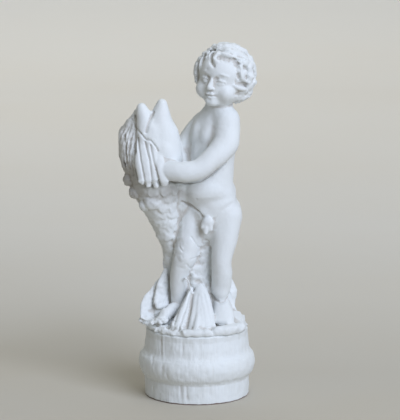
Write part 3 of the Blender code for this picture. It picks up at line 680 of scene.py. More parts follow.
# Where the hair is parted: bearings and heights along each line, radius and depth
PARTINGS = (
    (((9, 42), (26, 39), (42, 37), (50, 34)), 1.1, 0.28),
    (((-23, 45), (-16, 36), (-9, 27), (0, 21)), 0.65, 0.55),
    (((5, 42), (5, 38)), 0.4, 0.25),
    (((-50, 36), (-42, 25), (-36, 15)), 0.6, 0.4),
    (((-32, 55), (-13, 57), (6, 56), (29, 55), (39, 52)), 0.4, 0.35),
    (((42, 42), (58, 39), (73, 39), (87, 42)), 0.3, 0.32),
    (((53, 35), (59, 32)), 0.35, 0.35),
    (((48, 30), (52, 22), (54, 14)), 0.7, 0.2),
    (((54, 26), (56, 20)), 0.5, 0.2),
    (((54, 10), (56, 4)), 0.6, 0.3),
    (((50, -3), (53, -9)), 0.6, 0.25),
    (((58, -9), (68, -10), (80, -11)), 0.5, 0.3),
    (((75, 24), (77, 20)), 0.35, 0.2),
    (((78, 5), (80, 1)), 0.38, 0.2),
    (((80, -15), (85, -25), (88, -33)), 0.38, 0.3),
    (((56, -30), (64, -32), (74, -34)), 0.7, 0.3),
    (((-62, -12), (-66, -30)), 0.4, 0.25),
)


def shape_hair(clay):
    clay.ball((0, 1.8, 1.2), (6.1, 5.9, 6), HEAD)
    for bearing, height, size in HAIR_FILL:
        clay.ball(on_skull(bearing, height, 0), size, HEAD)
    for row, (height, count, clear) in enumerate(CURL_ROWS):
        span = 360 - 2 * clear
        for i in range(count):
            sway = sin(SEED_STEP * (i + 3 * row))
            bearing = clear + span * (i + 0.5) / count + 7 * (row % 2) + 4 * sway
            shape_curl(clay, bearing, height + 4 * (i % 2) + 3 * sway, 1.15 + 0.15 * sway)
    for curl in FACE_CURLS:
        shape_curl(clay, *curl)
    for way, wide, thick in LOCKS:
        shape_lock(clay, way, wide, thick)
    for way in STRANDS:
        shape_strand(clay, way)


def hair_strokes():
    """The partings, with fine lines combed over the crown, and soft lumps all over the hair."""
    combed = [
        (((-46 + 3 * i, 59 + 4 * i), (0, 62 + 3.6 * i), (44, 60 + 3.4 * i), (78, 52 + 3 * i),
          (104, 36 + 4 * i)), 0.27, 0.14 + 0.05 * sin(SEED_STEP * i))
        for i in range(7)
    ]
    return [part_hair((*PARTINGS, *combed)), ripple(1.2, 0.26, on_hair, 3)]


def on_hair(x, y, z):
    to_head = HEAD.inverted()
    side, ahead, up = (a * x + b * y + c * z + d for a, b, c, d in to_head[:3])
    far = side * side + ahead * ahead + up * up
    return ((up > 4.9) | (ahead > 0.2)) & (up > -5.6) & (far > 30) & (far < 90)


# The fish's middle line from its throat down to its tail: x, y, z, half width, half depth
FISH_LINE = (
    (-9.9, -3.8, 46.5, 3.9, 4), (-10, -3.5, 42.5, 5.4, 4.9), (-10, -3.1, 38, 5.8, 5.1),
    (-9.5, -2.3, 33.5, 5.2, 4.8), (-8.7, -1.2, 29.6, 4.4, 4.2), (-7.6, 0, 25.2, 3.2, 3.4),
    (-6.6, 1.2, 21, 2.3, 2.7), (-6.1, 2.2, 18, 1.6, 2), (-6.3, 2.8, 15, 1.3, 1.6),
)


def shape_fish(clay):
    clay.tube(FISH_LINE, sides=32)
    clay.tube([
        (-7.8, -3.7, 40.6, 4.8, 4.4), (-8, -3.9, 45.4, 4.1, 3.8), (-8.3, -4.1, 48.8, 2.9, 3),
        (-8.1, -4.1, 51.2, 2, 2.2), (-7.9, -4.1, 52.8, 1.3, 1.5)], sides=24)
    clay.tube([
        (-12, -4.4, 43, 2.1, 3.3), (-11.9, -4.6, 46.6, 2.2, 3.1), (-11.9, -4.7, 49.2, 2.05, 2.7),
        (-12.3, -4.6, 50.9, 1.65, 2), (-12.6, -4.5, 51.9, 1.3, 1.45)], sides=20)
    clay.ball((-10.4, -3.2, 47.6), (2.2, 2.6, 2.8))
    clay.ball((-7.4, -5.8, 42.4), (2.4, 2.6, 3))
    clay.ball((-8.6, -6.6, 41.4), (1.9, 1.9, 2.2))
    clay.tube([
        (-4.2, 1.6, 40.6, 1.9), (-3.9, -0.8, 36.4, 2.5), (-3.6, -1.1, 32.4, 2.6),
        (-3.8, 0.4, 28.4, 2.5), (-4, 1.4, 23, 1.9)])
    clay.tube([(-6.3, 2.6, 15.5, 1.35), (-6.4, 2.3, 9, 1.4), (-6.3, 1.8, 2.5, 1.8)])
    clay.tube([(-5, 3, 14.4, 1.2), (-4.2, 3.2, 10, 2.3), (-3.8, 2.8, 2.5, 3)])
    clay.ball((-6.9, 2.2, 15.5), (1.1, 1.5, 0.8))


def fish_lean(low, high, turn):
    """The slope of the fish's side between two stations of its line, in radians off upright."""
    ends = [Vector((s[0] + s[3] * cos(turn), s[1] + s[4] * sin(turn), s[2])) for s in (low, high)]
    along = ends[1] - ends[0]
    return atan2(along.x * cos(turn) + along.y * sin(turn), along.z)


def shape_scales(clay):
    """Rows of tiled scales round the fish, half a step apart, their lower ends lifted."""
    line = smooth_rows(FISH_LINE, 12)
    row, height, top, sunk = 0, 15.4, 34.5, 0.16
    while height < top:
        at = min(range(len(line)), key=lambda i: abs(line[i][2] - height))
        x, y, z, wide, deep = line[at]
        low, high = line[min(at + 4, len(line) - 1)], line[at - 4]
        size = 0.86 + 0.13 * wide
        count = max(6, round(pi * (wide + deep) / (size * 1.8)))
        for i in range(count):
            sway = sin(SEED_STEP * (i + 5 * row))
            jog = sin(SEED_STEP * (i + 5 * row) * 1.7 + 2)
            turn = 2 * pi * (i + 0.5 * (row % 2) + 0.16 * sway) / count
            place = (
                Matrix.Translation((
                    x + (wide - sunk) * cos(turn), y + (deep - sunk) * sin(turn), z + 0.3 * jog))
                @ Matrix.Rotation(turn, 4, "Z")
                @ Matrix.Rotation(fish_lean(low, high, turn) - radians(10 + 3 * sway), 4, "Y")
                @ Matrix.Rotation(radians(14 * jog), 4, "X")
            )
            clay.ball((0, 0, 0), (0.42, size * (1.12 + 0.14 * jog), size * 1.35), place)
        height += size * 1.5
        row += 1


# Lines cut from the front: x and z along each, radius, depth, the skin's y, and some a reach
FRONT_LINES = (
    (((-15, 49.4), (-13.9, 47.7), (-12, 45.6), (-11.5, 45.1), (-10.4, 44.9), (-9.2, 43.4),
      (-8.8, 42.6)), 0.34, 0.36, -6.5, 3),
    (((-14.1, 51.6), (-14, 47.5), (-14.1, 43.7), (-13.8, 37.5), (-13, 35)), 0.42, 0.6, -5.5, 2.4),
    (((-13.5, 45.4), (-12.8, 40.8), (-12.1, 37.2), (-11.7, 34.4)), 0.36, 0.42, -8, 2.4),
    (((-11.8, 44.6), (-10.8, 40.8), (-10.3, 37.2), (-10.1, 34.2)), 0.36, 0.45, -8.4, 2.4),
    (((-10.5, 43.9), (-9.9, 40.8), (-9.1, 37.9), (-8.3, 34.6)), 0.34, 0.42, -8.6, 2.4),
    (((-9.9, 51.2), (-10.5, 49.6), (-11.2, 48), (-11.5, 46.8)), 0.45, 0.7, -6, 3),
    (((6.6, 39.2), (3.2, 36.4), (0.9, 35.1), (-2.6, 34.2), (-4.8, 34.7), (-6.3, 35.2)), 0.4, 0.8,
     -5, 2.8),
    (((3.5, 47.5), (2.3, 44.5), (-0.2, 41.5), (-1.9, 40.5)), 0.8, 0.1, -4.8),
    (((-0.9, 47.8), (-2.1, 44.6), (-2.8, 41.2)), 1, 0.15, -1.6, 3.4),
    (((-3.4, 29.8), (-1.1, 28.7), (0.4, 27.7), (1.2, 26.6)), 0.5, 0.5, -4.2),
    (((0.9, 30.2), (3.7, 30.3), (8.8, 31.1)), 1.2, 0.12, -4.6),
    (((4.2, 26.2), (5.6, 28), (7.9, 29.5)), 0.8, 0.2, -4.2),
    (((-1.3, 21.8), (0.5, 19.1)), 0.3, 0.2, -3.6),
    (((-4, 19.4), (-3.3, 18.5)), 0.3, 0.14, -3.5),
    (((-1.2, 16.6), (0.4, 16.8)), 0.35, 0.14, -3.4),
    (((-2.3, 15.3), (-1.4, 14.2)), 0.4, 0.16, -3),
    (((-4.3, 14.6), (-2.9, 14.4)), 0.5, 0.08, -3.4),
    (((3.4, 7.7), (4.2, 6.7), (5.4, 6.4), (6.6, 6.6), (7.6, 7.5)), 0.45, 0.3, -2.8, 2.4),
    (((-9.9, 8.4), (-10.2, 5.9), (-9.9, 4.5), (-8.2, 3.8)), 0.4, 0.2, -1, 2.4),
    (((-2.2, 8.8), (-4.1, 5.4), (-5.3, 2.3)), 0.38, 0.26, -6.4, 3.4),
    (((-1.4, 9.2), (-2.5, 5.6), (-3.8, 2.3)), 0.38, 0.3, -6.8, 3.4),
    (((-0.9, 9.4), (-1.5, 5.2), (-2.4, 1.5)), 0.42, 0.4, -7, 3.6),
    (((0.2, 8.4), (-0.4, 5), (-1, 1.8)), 0.45, 0.1, -6.6, 4),
    (((0.9, 8), (0.8, 5), (0.5, 2)), 0.4, 0.07, -6.6, 4),
    (((1.6, 8.4), (2.3, 6.2), (3, 3.4)), 0.45, 0.12, -6.2, 4),
    (((1.2, 6.6), (1.7, 4.2), (1.9, 2)), 0.4, 0.07, -6.8, 4),
    (((-16.5, 45.6), (-16.3, 42.5), (-16, 39)), 0.45, 0.36, -3.6, 3.4),
    (((-15, 48.6), (-15.9, 47), (-16.6, 45.6)), 0.4, 0.4, -4, 3.4),
    (((-14.3, 49.4), (-15.2, 47.4), (-16, 44.4), (-16.3, 41.4)), 0.3, 0.35, -5, 3),
    (((-14.4, 47), (-15.1, 45), (-15.6, 41.4), (-15.4, 38)), 0.32, 0.4, -5.4, 3),
    (((-14.3, 44), (-14.7, 42), (-14.9, 39.4), (-14.5, 36.6)), 0.3, 0.35, -5.6, 3),
)


# How far a lock of the mane stands out on its way down: share of its length, share of the radius
MANE_REACH = ((0, 0.6), (0.25, 0.88), (0.4, 0.98), (0.6, 0.99), (0.8, 0.9), (1, 0.68))


def shape_mane_lock(clay, i):
    """One of the locks round the far side: it starts at one bearing and drops to another."""
    x, y, radius, crown, end = -12.7, -1.9, 4.9, 52.6, 37.6
    sway, jog = sin(SEED_STEP * i), sin(SEED_STEP * i * 1.3 + 1)
    turn, start = radians(243 - 9.5 * i), radians(248 - 5 * i)
    top = min(51, 45.6 + i)
    rows = []
    for share, reach in MANE_REACH:
        bump = 0.025 * sin(SEED_STEP * (i + 7 * share))
        angle = start + (turn - start) * min(1, share * 1.8) + 0.08 * jog * sin(2 * pi * share)
        z = top + (end + 0.9 * sway - top) * share
        out = radius * (reach + bump) * min(1, max(0.35, (crown - z) / 6.5))
        wide = (0.4 + 0.14 * jog) * (0.7 + 0.5 * sin(pi * share))
        rows.append((x + out * cos(angle) - 0.2 * share, y + out * sin(angle), z, wide, 0.5))
    clay.tube(rows, broad=(-sin(turn), cos(turn), 0), sides=12)


def shape_fins(clay):
    """The fin in front, and the longer one that wraps the far side like a mane."""
    clay.tube([
        (-11.7, -6.4, 45.4, 2, 0.7), (-11.1, -8.1, 40.6, 3, 0.95), (-10.3, -8.8, 36, 2.9, 0.9)],
        broad=(1, -0.06, 0), sides=28)
    clay.tube([
        (-9.7, -6.8, 44.6, 0.5, 0.6), (-8.7, -7.9, 41.6, 1, 0.55), (-7.9, -9.1, 38.4, 1.4, 0.7),
        (-7.5, -9.4, 36.2, 1.1, 0.6), (-7.3, -9, 35.1, 0.8, 0.5)], broad=(1, 0.15, 0))
    for x, z, wide in ((-12.4, 35.2, 0.5), (-11.1, 34.7, 0.8), (-9.3, 34.7, 0.7)):
        clay.tube([(x, -8.6, z + 1.6, wide, 0.8), (x + 0.1, -8.8, z, wide * 0.8, 0.5)])
    clay.ball((-12.9, -1.8, 44), (4.7, 4.8, 6.5))
    for i in range(17):
        shape_mane_lock(clay, i)
    clay.balls((
        (-15.6, -2.6, 35.2, (1.3, 1.9, 1.7)), (-14.1, -3.4, 32.3, (1.6, 1.9, 1.6)),
        (-12, -4.2, 29.4, (1.3, 1.5, 1.5)), (-10, -5.6, 30.4, (2.1, 1.2, 2)),
        (-14.9, 0.4, 35.4, (1.3, 1.7, 1.6)), (-13.2, 2.5, 34.9, (1.7, 1.3, 1.5)),
        (-13.4, -0.6, 31.9, (1.4, 1.8, 1.3)), (-10.8, 3, 34.2, (1.5, 1.1, 1.3))))


def shape_tail(clay):
    """The tail spread over the base: a fan in front, folds beside the right foot, two leaves
    at the left and one behind the left foot."""
    clay.tube([
        (0.9, -1, 10.4, 0.8, 0.7), (1, -3.4, 7.6, 2, 1.2), (1.05, -6.6, 4.2, 3, 1.5),
        (0.9, -9.2, 1.1, 3.3, 1.3)], sides=24)
    clay.tube([
        (0.6, -2, 9.2, 0.5), (0.6, -4.5, 7, 0.8), (0.4, -7.8, 3.7, 1.05), (-0.2, -9.9, 1.1, 1.15)])
    clay.tube([
        (1.6, -1.8, 9.2, 0.5), (2.2, -4.3, 6.6, 0.8), (2.9, -7.2, 3.3, 1), (3.7, -8.9, 1.3, 1.05)])
    clay.tube([
        (-2.9, -10.9, 0.8, 0.75, 0.8), (-0.4, -11.2, 0.75, 0.85, 0.9),
        (2.6, -10.9, 0.75, 0.75, 0.85)], broad=(0, 1, 0))
    clay.tube([
        (-1.3, -2.4, 9.2, 0.5, 0.7), (-2.4, -4.6, 6, 1.1, 1.2), (-3.7, -7.2, 2.5, 1.9, 1.3),
        (-4.2, -8.2, 1.2, 2.1, 1.2)], sides=24)
    for x, y, z in ((-5.4, -8.6, 1.6), (-4.5, -9.2, 1.4), (-3.4, -9.7, 1.6), (-6.2, -8.4, 0.7),
                    (-5, -9.6, 0.7), (-3.6, -10.1, 0.8), (-7.2, -7.6, 0.9), (-2.6, -10.2, 1.5)):
        clay.ball((x, y, z), (0.42, 0.5, 0.5), detail=2)
    clay.tube([(-2.5, -3.6, 12, 0.26), (-1.8, -3.8, 11.1, 0.22), (-1.5, -3.6, 9.2, 0.26)], sides=8)
    clay.ball((-2.6, -3.7, 12), 0.38)
    clay.tube([
        (-7.3, 0.7, 13, 0.5, 0.5), (-7.9, 0.1, 10.2, 1.4, 0.6), (-8.3, -0.6, 7.2, 1.9, 0.7),
        (-8, -1.3, 4.9, 1.8, 0.6)], broad=(0.85, 0.45, -0.2))
    clay.tube([
        (-8.7, 1.5, 10.6, 0.4, 0.4), (-9.6, 0.6, 8.3, 1.5, 0.5), (-10.6, -0.6, 5.6, 2.5, 0.55),
        (-11.1, -1.4, 3.6, 2.6, 0.55), (-11, -2.4, 2, 2.4, 0.5)], broad=(0.82, 0.42, -0.25))
    for i in range(10):
        top = Vector((-12.9 + 0.5 * i, -2.6 + 0.05 * i, 2.2 - 0.1 * i))
        drop = Vector((-0.1, -0.6, -0.9 - 0.5 * (i % 2) - 0.2 * sin(SEED_STEP * i)))
        clay.tube([(*top, 0.5), (*(top + drop), 0.26)], sides=8)
    clay.tube([
        (7.5, 1.8, 11.6, 0.5, 0.5), (8, 1.6, 9.2, 0.9, 0.6), (8.1, 1.3, 7.1, 1.4, 0.65),
        (7.9, 1, 5.2, 1.1, 0.6), (7.9, 0.8, 3.4, 1.4, 0.8)], broad=(1, 0.45, 0))


def shape_base(clay):
    """A rough slab on the plinth, with the rock that rises behind and between the legs."""
    clay.tube([(0, 0, 0, 11.7), (0, 0, 0.7, 11.5)], sides=64, steps=1, dome=0.06)
    clay.balls((
        (6.6, 0.2, 0.2, (5, 7.6, 3.8)), (-3.4, 2.4, 0.6, (7.6, 7.4, 2.4)),
        (4.6, 4.2, 2.4, (2.8, 2.6, 3)), (-1.4, 4.2, 4.6, (2.6, 2.6, 3.2)),
        (3, 3.6, 8, (2.4, 2.4, 3.4)), (0, 3.7, 11.8, (2.4, 2.3, 3.2)),
        (2.3, 3.9, 15.8, (2, 2.1, 3)), (0.8, 5.6, 1.2, (3.6, 3, 2.6)),
        (-0.6, 0.4, 12.8, (1.8, 2.2, 4.6)), (-7.6, -5, 0.4, (3, 3, 0.9)),
        (-8.4, 0.8, 1.8, (2.8, 3, 4)), (8.4, -3.4, 0.2, (3, 4.6, 2.3))))
    clay.tube([
        (1.2, 1.2, 0.8, 5.6), (1, 1.2, 5, 4), (0.5, 1.4, 10, 3.3), (0.9, 1.4, 15, 2.9),
        (1.8, 1.2, 22, 2.9)])
    clay.tube([(4.3, -10, 1, 1.05, 1.1), (7.4, -8.9, 1.05, 1.25, 1.25), (10.2, -5.9, 1, 1.1, 1.1)])


def shape_leaf(clay):
    """The small leaf at the groin: broad at its stalk, with three blunt lobes below."""
    stalk = Vector((2.6, -4.1, 26.6))
    clay.ball((2.6, -4.8, 25.4), (1.35, 0.8, 1.3))
    for x, y, z, size in ((1.4, -4.8, 24.3, 0.6), (2, -5.1, 23.1, 0.62), (3.1, -4.9, 23.9, 0.6)):
        tip = Vector((x, y, z))
        clay.tube([(*stalk, 0.7), (*stalk.lerp(tip, 0.6), 0.85), (*tip, size)], sides=12)


def body_strokes():
    """Folds of the flesh at the back and sides, then every line that shows from the front."""
    strokes = [
        crease(((5.9, 4, 46), (5.6, 4.6, 38), (5, 4.9, 32)), 1.8, 0.45),
        crease(((4.8, 6.2, 30), (5.2, 6, 27), (5, 4.8, 23.4)), 1.3, 0.9),
        press((-0.2, -5.2, 30.6), 0.6, 0.45),
        press((4.1, -8.2, 1.8), 0.9, 0.6),
    ]
    return strokes + [score(*line) for line in FRONT_LINES]


def in_back_rock(x, y, z):
    """Like the tests below it, tells which points, by rows of x, y and z, a ripple works on."""
    return (y > 1.8) & (z > 0.4) & (z < 21) & (x > -7.8) & (x < 7.4)


def in_rock(x, y, z):
    between_legs = (x > -2.2) & (x > 0.43 * z - 7.5) & (x < 3.4)
    return ((z < 3) & (x < 3) & (y > -8.5)) | ((y > -2.4) & (z < 24) & between_legs)


def on_rim(x, y, z):
    return (z < 2) & (x * x + y * y > 80)


def on_tail(x, y, z):
    return (z < 11.5) & ((x < -6.6) | ((x > 7.6) & (y > 0.6)))


def on_mane(x, y, z):
    return (x < -14.2) & (z > 30)


def on_fish(x, y, z):
    return (x < -3.2) & (z > 16) & (z < 36)


def casting_pits(points, outward):
    """Small air holes in the skin, scattered the same way each time."""
    settings = bpy.context.scene.cherub_statue
    chance = np.random.default_rng(SEED)
    moves = np.zeros_like(points)
    for at in chance.integers(0, len(points), settings.pits):
        radius = chance.uniform(0.16, 0.34)
        depth = chance.uniform(0.05, 0.14)
        near = np.clip(1 - ((points - points[at]) ** 2).sum(1) / radius**2, 0, None)
        moves -= outward * (depth * near)[:, None]
    return moves


def level_seat(points, outward):
    """The underside is cut flat on its seat."""
    rise = np.zeros_like(points)
    rise[:, 2] = np.clip(0.01 - points[:, 2], 0, None)
    return rise


def mark_hollows(mesh, passes=24, full=0.00022):
    """Keeps in each point how deep it lies in a hollow, from 0 to 1, for the paint to read: the paint
    darkens the hollows with dust and painted shade.
    """
    points, outward = coordinates(mesh), coordinates(mesh, "normal")
    ends = np.empty(len(mesh.edges) * 2, np.int32)
    mesh.edges.foreach_get("vertices", ends)
    one, other = ends.reshape(-1, 2).T
    count = np.bincount(ends, minlength=len(points))[:, None]
    flat = points
    for _ in range(passes):
        sums = [np.bincount(one, flat[other, k], len(points))
                + np.bincount(other, flat[one, k], len(points)) for k in range(3)]
        flat = np.stack(sums, 1) / count
    depth = ((flat - points) * outward).sum(1) / full
    hollow = mesh.attributes.new("hollow", "FLOAT", "POINT")
    hollow.data.foreach_set("value", np.clip(depth, -1, 1).astype(np.float32))


def keep_inside(mesh, low, high):
    """No point of the fine skin stands out of the solid's own box."""
    move_points(mesh, np.clip(coordinates(mesh), np.array(low), np.array(high)))


def build_cast(settings):
    """The whole casting as one fine mesh: cherub, fish, tail and base."""
    part = settings.height / PARTS_HIGH
    coarse, fine = 0.3, settings.grain / part
    cast, fish = Clay(), Clay()
    for shape in (shape_trunk, shape_legs, shape_arms, shape_head):
        shape(cast)
    cast.fuse(coarse, softening=11)
    shape_fish(fish)
    fish.fuse(coarse, softening=6)
    cast.add(fish)
    shape_base(cast)
    cast.fuse(coarse, softening=4)

    shape_foot(cast, (5.7, -0.7, 3.9), (5.6, -7.6, 2.3), 1, 1.2)
    shape_foot(cast, (-3.9, -0.4, 4.2), (-9.6, -6.3, 1.9), -1, 0.74, 0.8)
    shape_hand(cast, (-12.4, 2.0, 40.2), (-0.75, -0.65, -0.1), (0, 0, 1))
    for shape in (shape_face, shape_hair, shape_scales, shape_fins, shape_tail, shape_leaf):
        shape(cast)
    cast.fuse(fine, softening=2)
    cast.carve(
        *body_strokes(),
        *face_strokes(),
        *hair_strokes(),
        ripple(1.2, 0.3, in_rock, 3),
        ripple(2.7, 1.0, in_back_rock, 2),
        ripple(1.6, 0.3, on_rim, 2),
        ripple(1.7, 0.34, on_tail, 2),
        ripple(0.9, 0.16, on_mane, 2),
        ripple(1.3, 0.18, on_fish, 2),
        ripple(2.4, 0.1),
        ripple(0.7, 0.04),
    )
    cast.carve(casting_pits)
    cast.carve(level_seat)
    cast.thin_out(settings.triangles)
    obj = cast.to_object("carved_cherub")
    obj.data.transform(Matrix.Translation((0, 0, SEAT)) @ Matrix.Scale(part, 4))
    keep_inside(obj.data, (CAST_LOW.x, CAST_LOW.y, SEAT), CAST_HIGH)
    mark_hollows(obj.data)
    obj.data.shade_smooth()
    return obj


# Long dents in the plinth's front: x, height, half width and half height in mm, and depth
DENTS = (
    (-8.3, 13, 0.35, 3.2, 3), (-7.4, 12, 0.3, 2.4, 1.6), (-3.3, 13.4, 0.35, 3, 2.6),
    (-8.1, 8.2, 0.5, 2.6, 2.4), (-7.2, 7.6, 0.35, 2, 1.4), (-3.7, 3, 0.5, 2.4, 4),
    (-2.3, 2.4, 0.4, 2.2, 3), (-10.3, 9.6, 0.3, 1.6, 1.8), (4.6, 13.2, 0.3, 1.8, 1.6),
    (8.8, 3, 0.3, 1.6, 1.6),
)

# The swelling's section from the top: share of its height, share of how far it stands out
SWELLING = (
    (-0.25, 0), (-0.1, 0.09), (0, 0.15), (0.12, 0.2), (0.2, 0.3), (0.27, 0.5), (0.34, 0.76),
    (0.43, 0.92), (0.55, 1), (0.65, 0.96), (0.76, 0.82), (0.85, 0.6), (0.93, 0.24), (1, 0.02),
)


def turned_section(settings):
    """Radius and height down the turned outside, in fine even steps."""
    arris, worn_in, worn_up, step = 0.0004, 0.0002, 0.00025, 0.00018
    rows = [(settings.drum - arris, SEAT), (settings.drum, SEAT - arris)]
    for down, out in smooth_rows(SWELLING, 8):
        wall = settings.drum + (settings.foot - settings.drum) * down
        height = settings.swelling_head + (settings.swelling_foot - settings.swelling_head) * down
        rows.append((wall + (settings.swelling - wall) * out, height))
    rows += [(settings.foot, worn_up), (settings.foot - worn_in, 0)]
    fine = [rows[0]]
    for (r0, z0), (r1, z1) in zip(rows, rows[1:]):
        count = max(1, round(abs(z1 - z0) / step))
        shares = [k / count for k in range(1, count + 1)]
        fine += [(r0 + (r1 - r0) * share, z0 + (z1 - z0) * share) for share in shares]
    return fine


def wood_grain(radius, turn, height):
    """How far the grain and the brush lift the paint there, as a share of its depth."""
    x, y, z = radius * cos(turn) * 1000, radius * sin(turn) * 1000, height * 1000
    fine = noise.noise(Vector((x * 2.6, y * 2.6, z * 0.22)))
    broad = noise.noise(Vector((x * 1.1 + 9, y * 1.1, z * 0.1)))
    lumps = noise.noise(Vector((x, y, z)) * 0.6)
    flecks = max(0.0, noise.noise(Vector((x * 1.7, y * 1.7, z * 0.7 + 5))) - 0.22)
    lift = fine * 0.8 + broad + lumps * 1.4 - flecks * 3
    if y < 0:
        for dent_x, dent_z, wide, tall, depth in DENTS:
            lift -= depth * max(0.0, 1 - ((x - dent_x) / wide) ** 2 - ((z - dent_z) / tall) ** 2)
    return lift


def build_plinth(settings, turns=288):
    bm = bmesh.new()
    rings = []
    for radius, height in reversed(turned_section(settings)):
        ring = []
        for i in range(turns):
            turn = 2 * pi * i / turns
            reach = radius + settings.grain_depth * (wood_grain(radius, turn, height) - 1.2)
            ring.append(bm.verts.new((reach * cos(turn), reach * sin(turn), height)))
        rings.append(ring)
    skin_rings(bm, rings)
    mesh = mesh_from(bm, "turned_wood_plinth")
    bm.free()
    keep_inside(mesh, PLINTH_LOW, PLINTH_HIGH)
    mark_hollows(mesh)
    mesh.shade_smooth()
    mesh.set_sharp_from_angle(angle=radians(50))
    return show("turned_wood_plinth", mesh)


class Value:
    """A socket in a sum: arithmetic on values adds the Math nodes that work it out."""

    def __init__(self, finish, socket):
        self.finish = finish
        self.socket = socket

    def _math(self, operation, one, other):
        return self.finish.node("ShaderNodeMath", {"operation": operation}, {0: one, 1: other})

    def __add__(self, other):
        return self._math("ADD", self, other)

    def __radd__(self, other):
        return self._math("ADD", other, self)

    def __sub__(self, other):
        return self._math("SUBTRACT", self, other)

    def __rsub__(self, other):
        return self._math("SUBTRACT", other, self)

    def __mul__(self, other):
        return self._math("MULTIPLY", self, other)

    def __rmul__(self, other):
        return self._math("MULTIPLY", other, self)


class Finish:
    """A material, its nodes written as expressions."""

    def __init__(self, name):
        self.material = bpy.data.materials.new(name)
        self.material.use_nodes = True
        self.tree = self.material.node_tree
        self.tree.nodes.clear()
        self.place = self.node("ShaderNodeTexCoord", output="Object")

    def node(self, kind, settings=None, inputs=None, output=0):
        """Adds a node: its settings first, a ramp's stops among them, then its sockets."""
        made = self.tree.nodes.new(kind)
        for name, value in (settings or {}).items():
            if name == "stops":
                self._set_stops(made.color_ramp, value)
            else:
                setattr(made, name, value)
        for name, value in (inputs or {}).items():
            if isinstance(value, Value):
                self.tree.links.new(value.socket, made.inputs[name])
            else:
                made.inputs[name].default_value = value
        return Value(self, made.outputs[output]) if len(made.outputs) else made

    def _set_stops(self, ramp, stops):
        while len(ramp.elements) < len(stops):
            ramp.elements.new(1)
        for element, (place, level) in zip(ramp.elements, stops):
            element.position = place
            element.color = (level, level, level, 1)

    def scaled(self, cells):
        """The object's own coordinates, in these many cells to the metre: one number, or one
        each for x, y and z."""
        cells = cells if isinstance(cells, tuple) else (cells,) * 3
        return self.node("ShaderNodeVectorMath", {"operation": "MULTIPLY"}, {0: self.place, 1: cells})

    def noise(self, cells, detail=3, roughness=0.5):
        """Soft noise from 0 to 1."""
        inputs = {"Vector": self.scaled(cells), "Scale": 1, "Detail": detail, "Roughness": roughness}
        return self.node("ShaderNodeTexNoise", None, inputs, "Fac")

    def specks(self, cells):
        """Distance from the nearest of many scattered points, in cells."""
        inputs = {"Vector": self.scaled(cells), "Scale": 1}
        return self.node("ShaderNodeTexVoronoi", None, inputs, "Distance")

    def axis(self, name):
        """One of the object's own coordinates, in metres."""
        return self.node("ShaderNodeSeparateXYZ", None, {"Vector": self.place}, name)

    def hollow(self):
        """How deep the skin lies in a hollow there, as mark_hollows found it."""
        return self.node("ShaderNodeAttribute", {"attribute_name": "hollow"}, None, "Fac")

    def ramp(self, value, *stops):
        return self.node("ShaderNodeValToRGB", {"stops": stops}, {"Fac": value}, "Color")

    def fade(self, value, none, full):
        """A mask: 0 where the value is at none or beyond, 1 where it is at full or beyond."""
        scale = 1 / (full - none)
        return self.ramp(value * scale - none * scale, (0, 0), (1, 1))

    def blend(self, factor, one, other):
        """A colour between two."""
        settings = {"data_type": "RGBA"}
        one = one if isinstance(one, Value) else (*one, 1)
        other = other if isinstance(other, Value) else (*other, 1)
        inputs = {0: factor, 6: one, 7: other}
        return self.node("ShaderNodeMix", settings, inputs, 2)

    def bump(self, height, strength, distance):
        inputs = {"Height": height, "Strength": strength, "Distance": distance}
        return self.node("ShaderNodeBump", None, inputs, "Normal")

    def surface(self, **inputs):
        """The shader itself, with the finish's output."""
        named = {name.replace("_", " "): value for name, value in inputs.items()}
        shader = self.node("ShaderNodeBsdfPrincipled", None, named, "BSDF")
        self.node("ShaderNodeOutputMaterial", None, {"Surface": shader})
        return self.material


def tinted(colour, *shares):
    """A colour with these shares of its red, green and blue left."""
    return [part * share for part, share in zip(colour, shares)]


def white_cast(settings):
    """Matte white paint over a casting: mottled, pitted, a little dust and painted shade in the
    hollows, and painted shade on the far side and under the fin and the arm.
    """
    finish = Finish("white_cast")
    across, depth, height = (finish.axis(name) for name in "XYZ")
    # Painted shade lies high on the far side, away from the key light, and darker painted shade under
    # the fin and the arm, with a ragged edge
    far_side_shade = finish.fade(across, -0.013, -0.01633) * finish.fade(height, 0.041, 0.046)
    mottle = finish.noise(260, 4)
    patches = finish.noise(900, 5, 0.6)
    ragged = height + patches * 0.004 - 0.002
    under_fin = (
        finish.fade(ragged, 0.0452, 0.048)
        * finish.fade(ragged + across * 0.5, 0.0482, 0.0468)
        * finish.fade(across, -0.0002, -0.0026)
        * finish.fade(depth, -0.0078, -0.0068)
    )
    # Dust and painted shade in the hollows, stronger the deeper the skin lies
    deep = finish.fade(finish.hollow(), 0.18, 0.95)
    pits = finish.fade(finish.specks(1500), 0.16, 0.05) * finish.fade(finish.noise(700), 0.56, 0.6)
    colour = finish.blend(mottle * 0.7, settings.paint, tinted(settings.paint, 0.967, 0.945, 0.927))
    for amount in (deep * 0.62, pits * 0.4, far_side_shade * (0.15 + mottle * 0.5)):
        colour = finish.blend(amount, colour, settings.dust_and_shade)
    # Painted shade under the fin and the arm
    colour = finish.blend(under_fin * (0.2 + mottle * 0.6), colour, settings.under_fin_shade)
    fine = finish.noise(5200, 4, 0.65)
    relief = fine * 0.5 + patches * 0.8 - pits * 1.2
    return finish.surface(
        Base_Color=colour,
        Roughness=0.58 + patches * 0.22,
        Normal=finish.bump(relief, 0.55, 0.00010),
    )


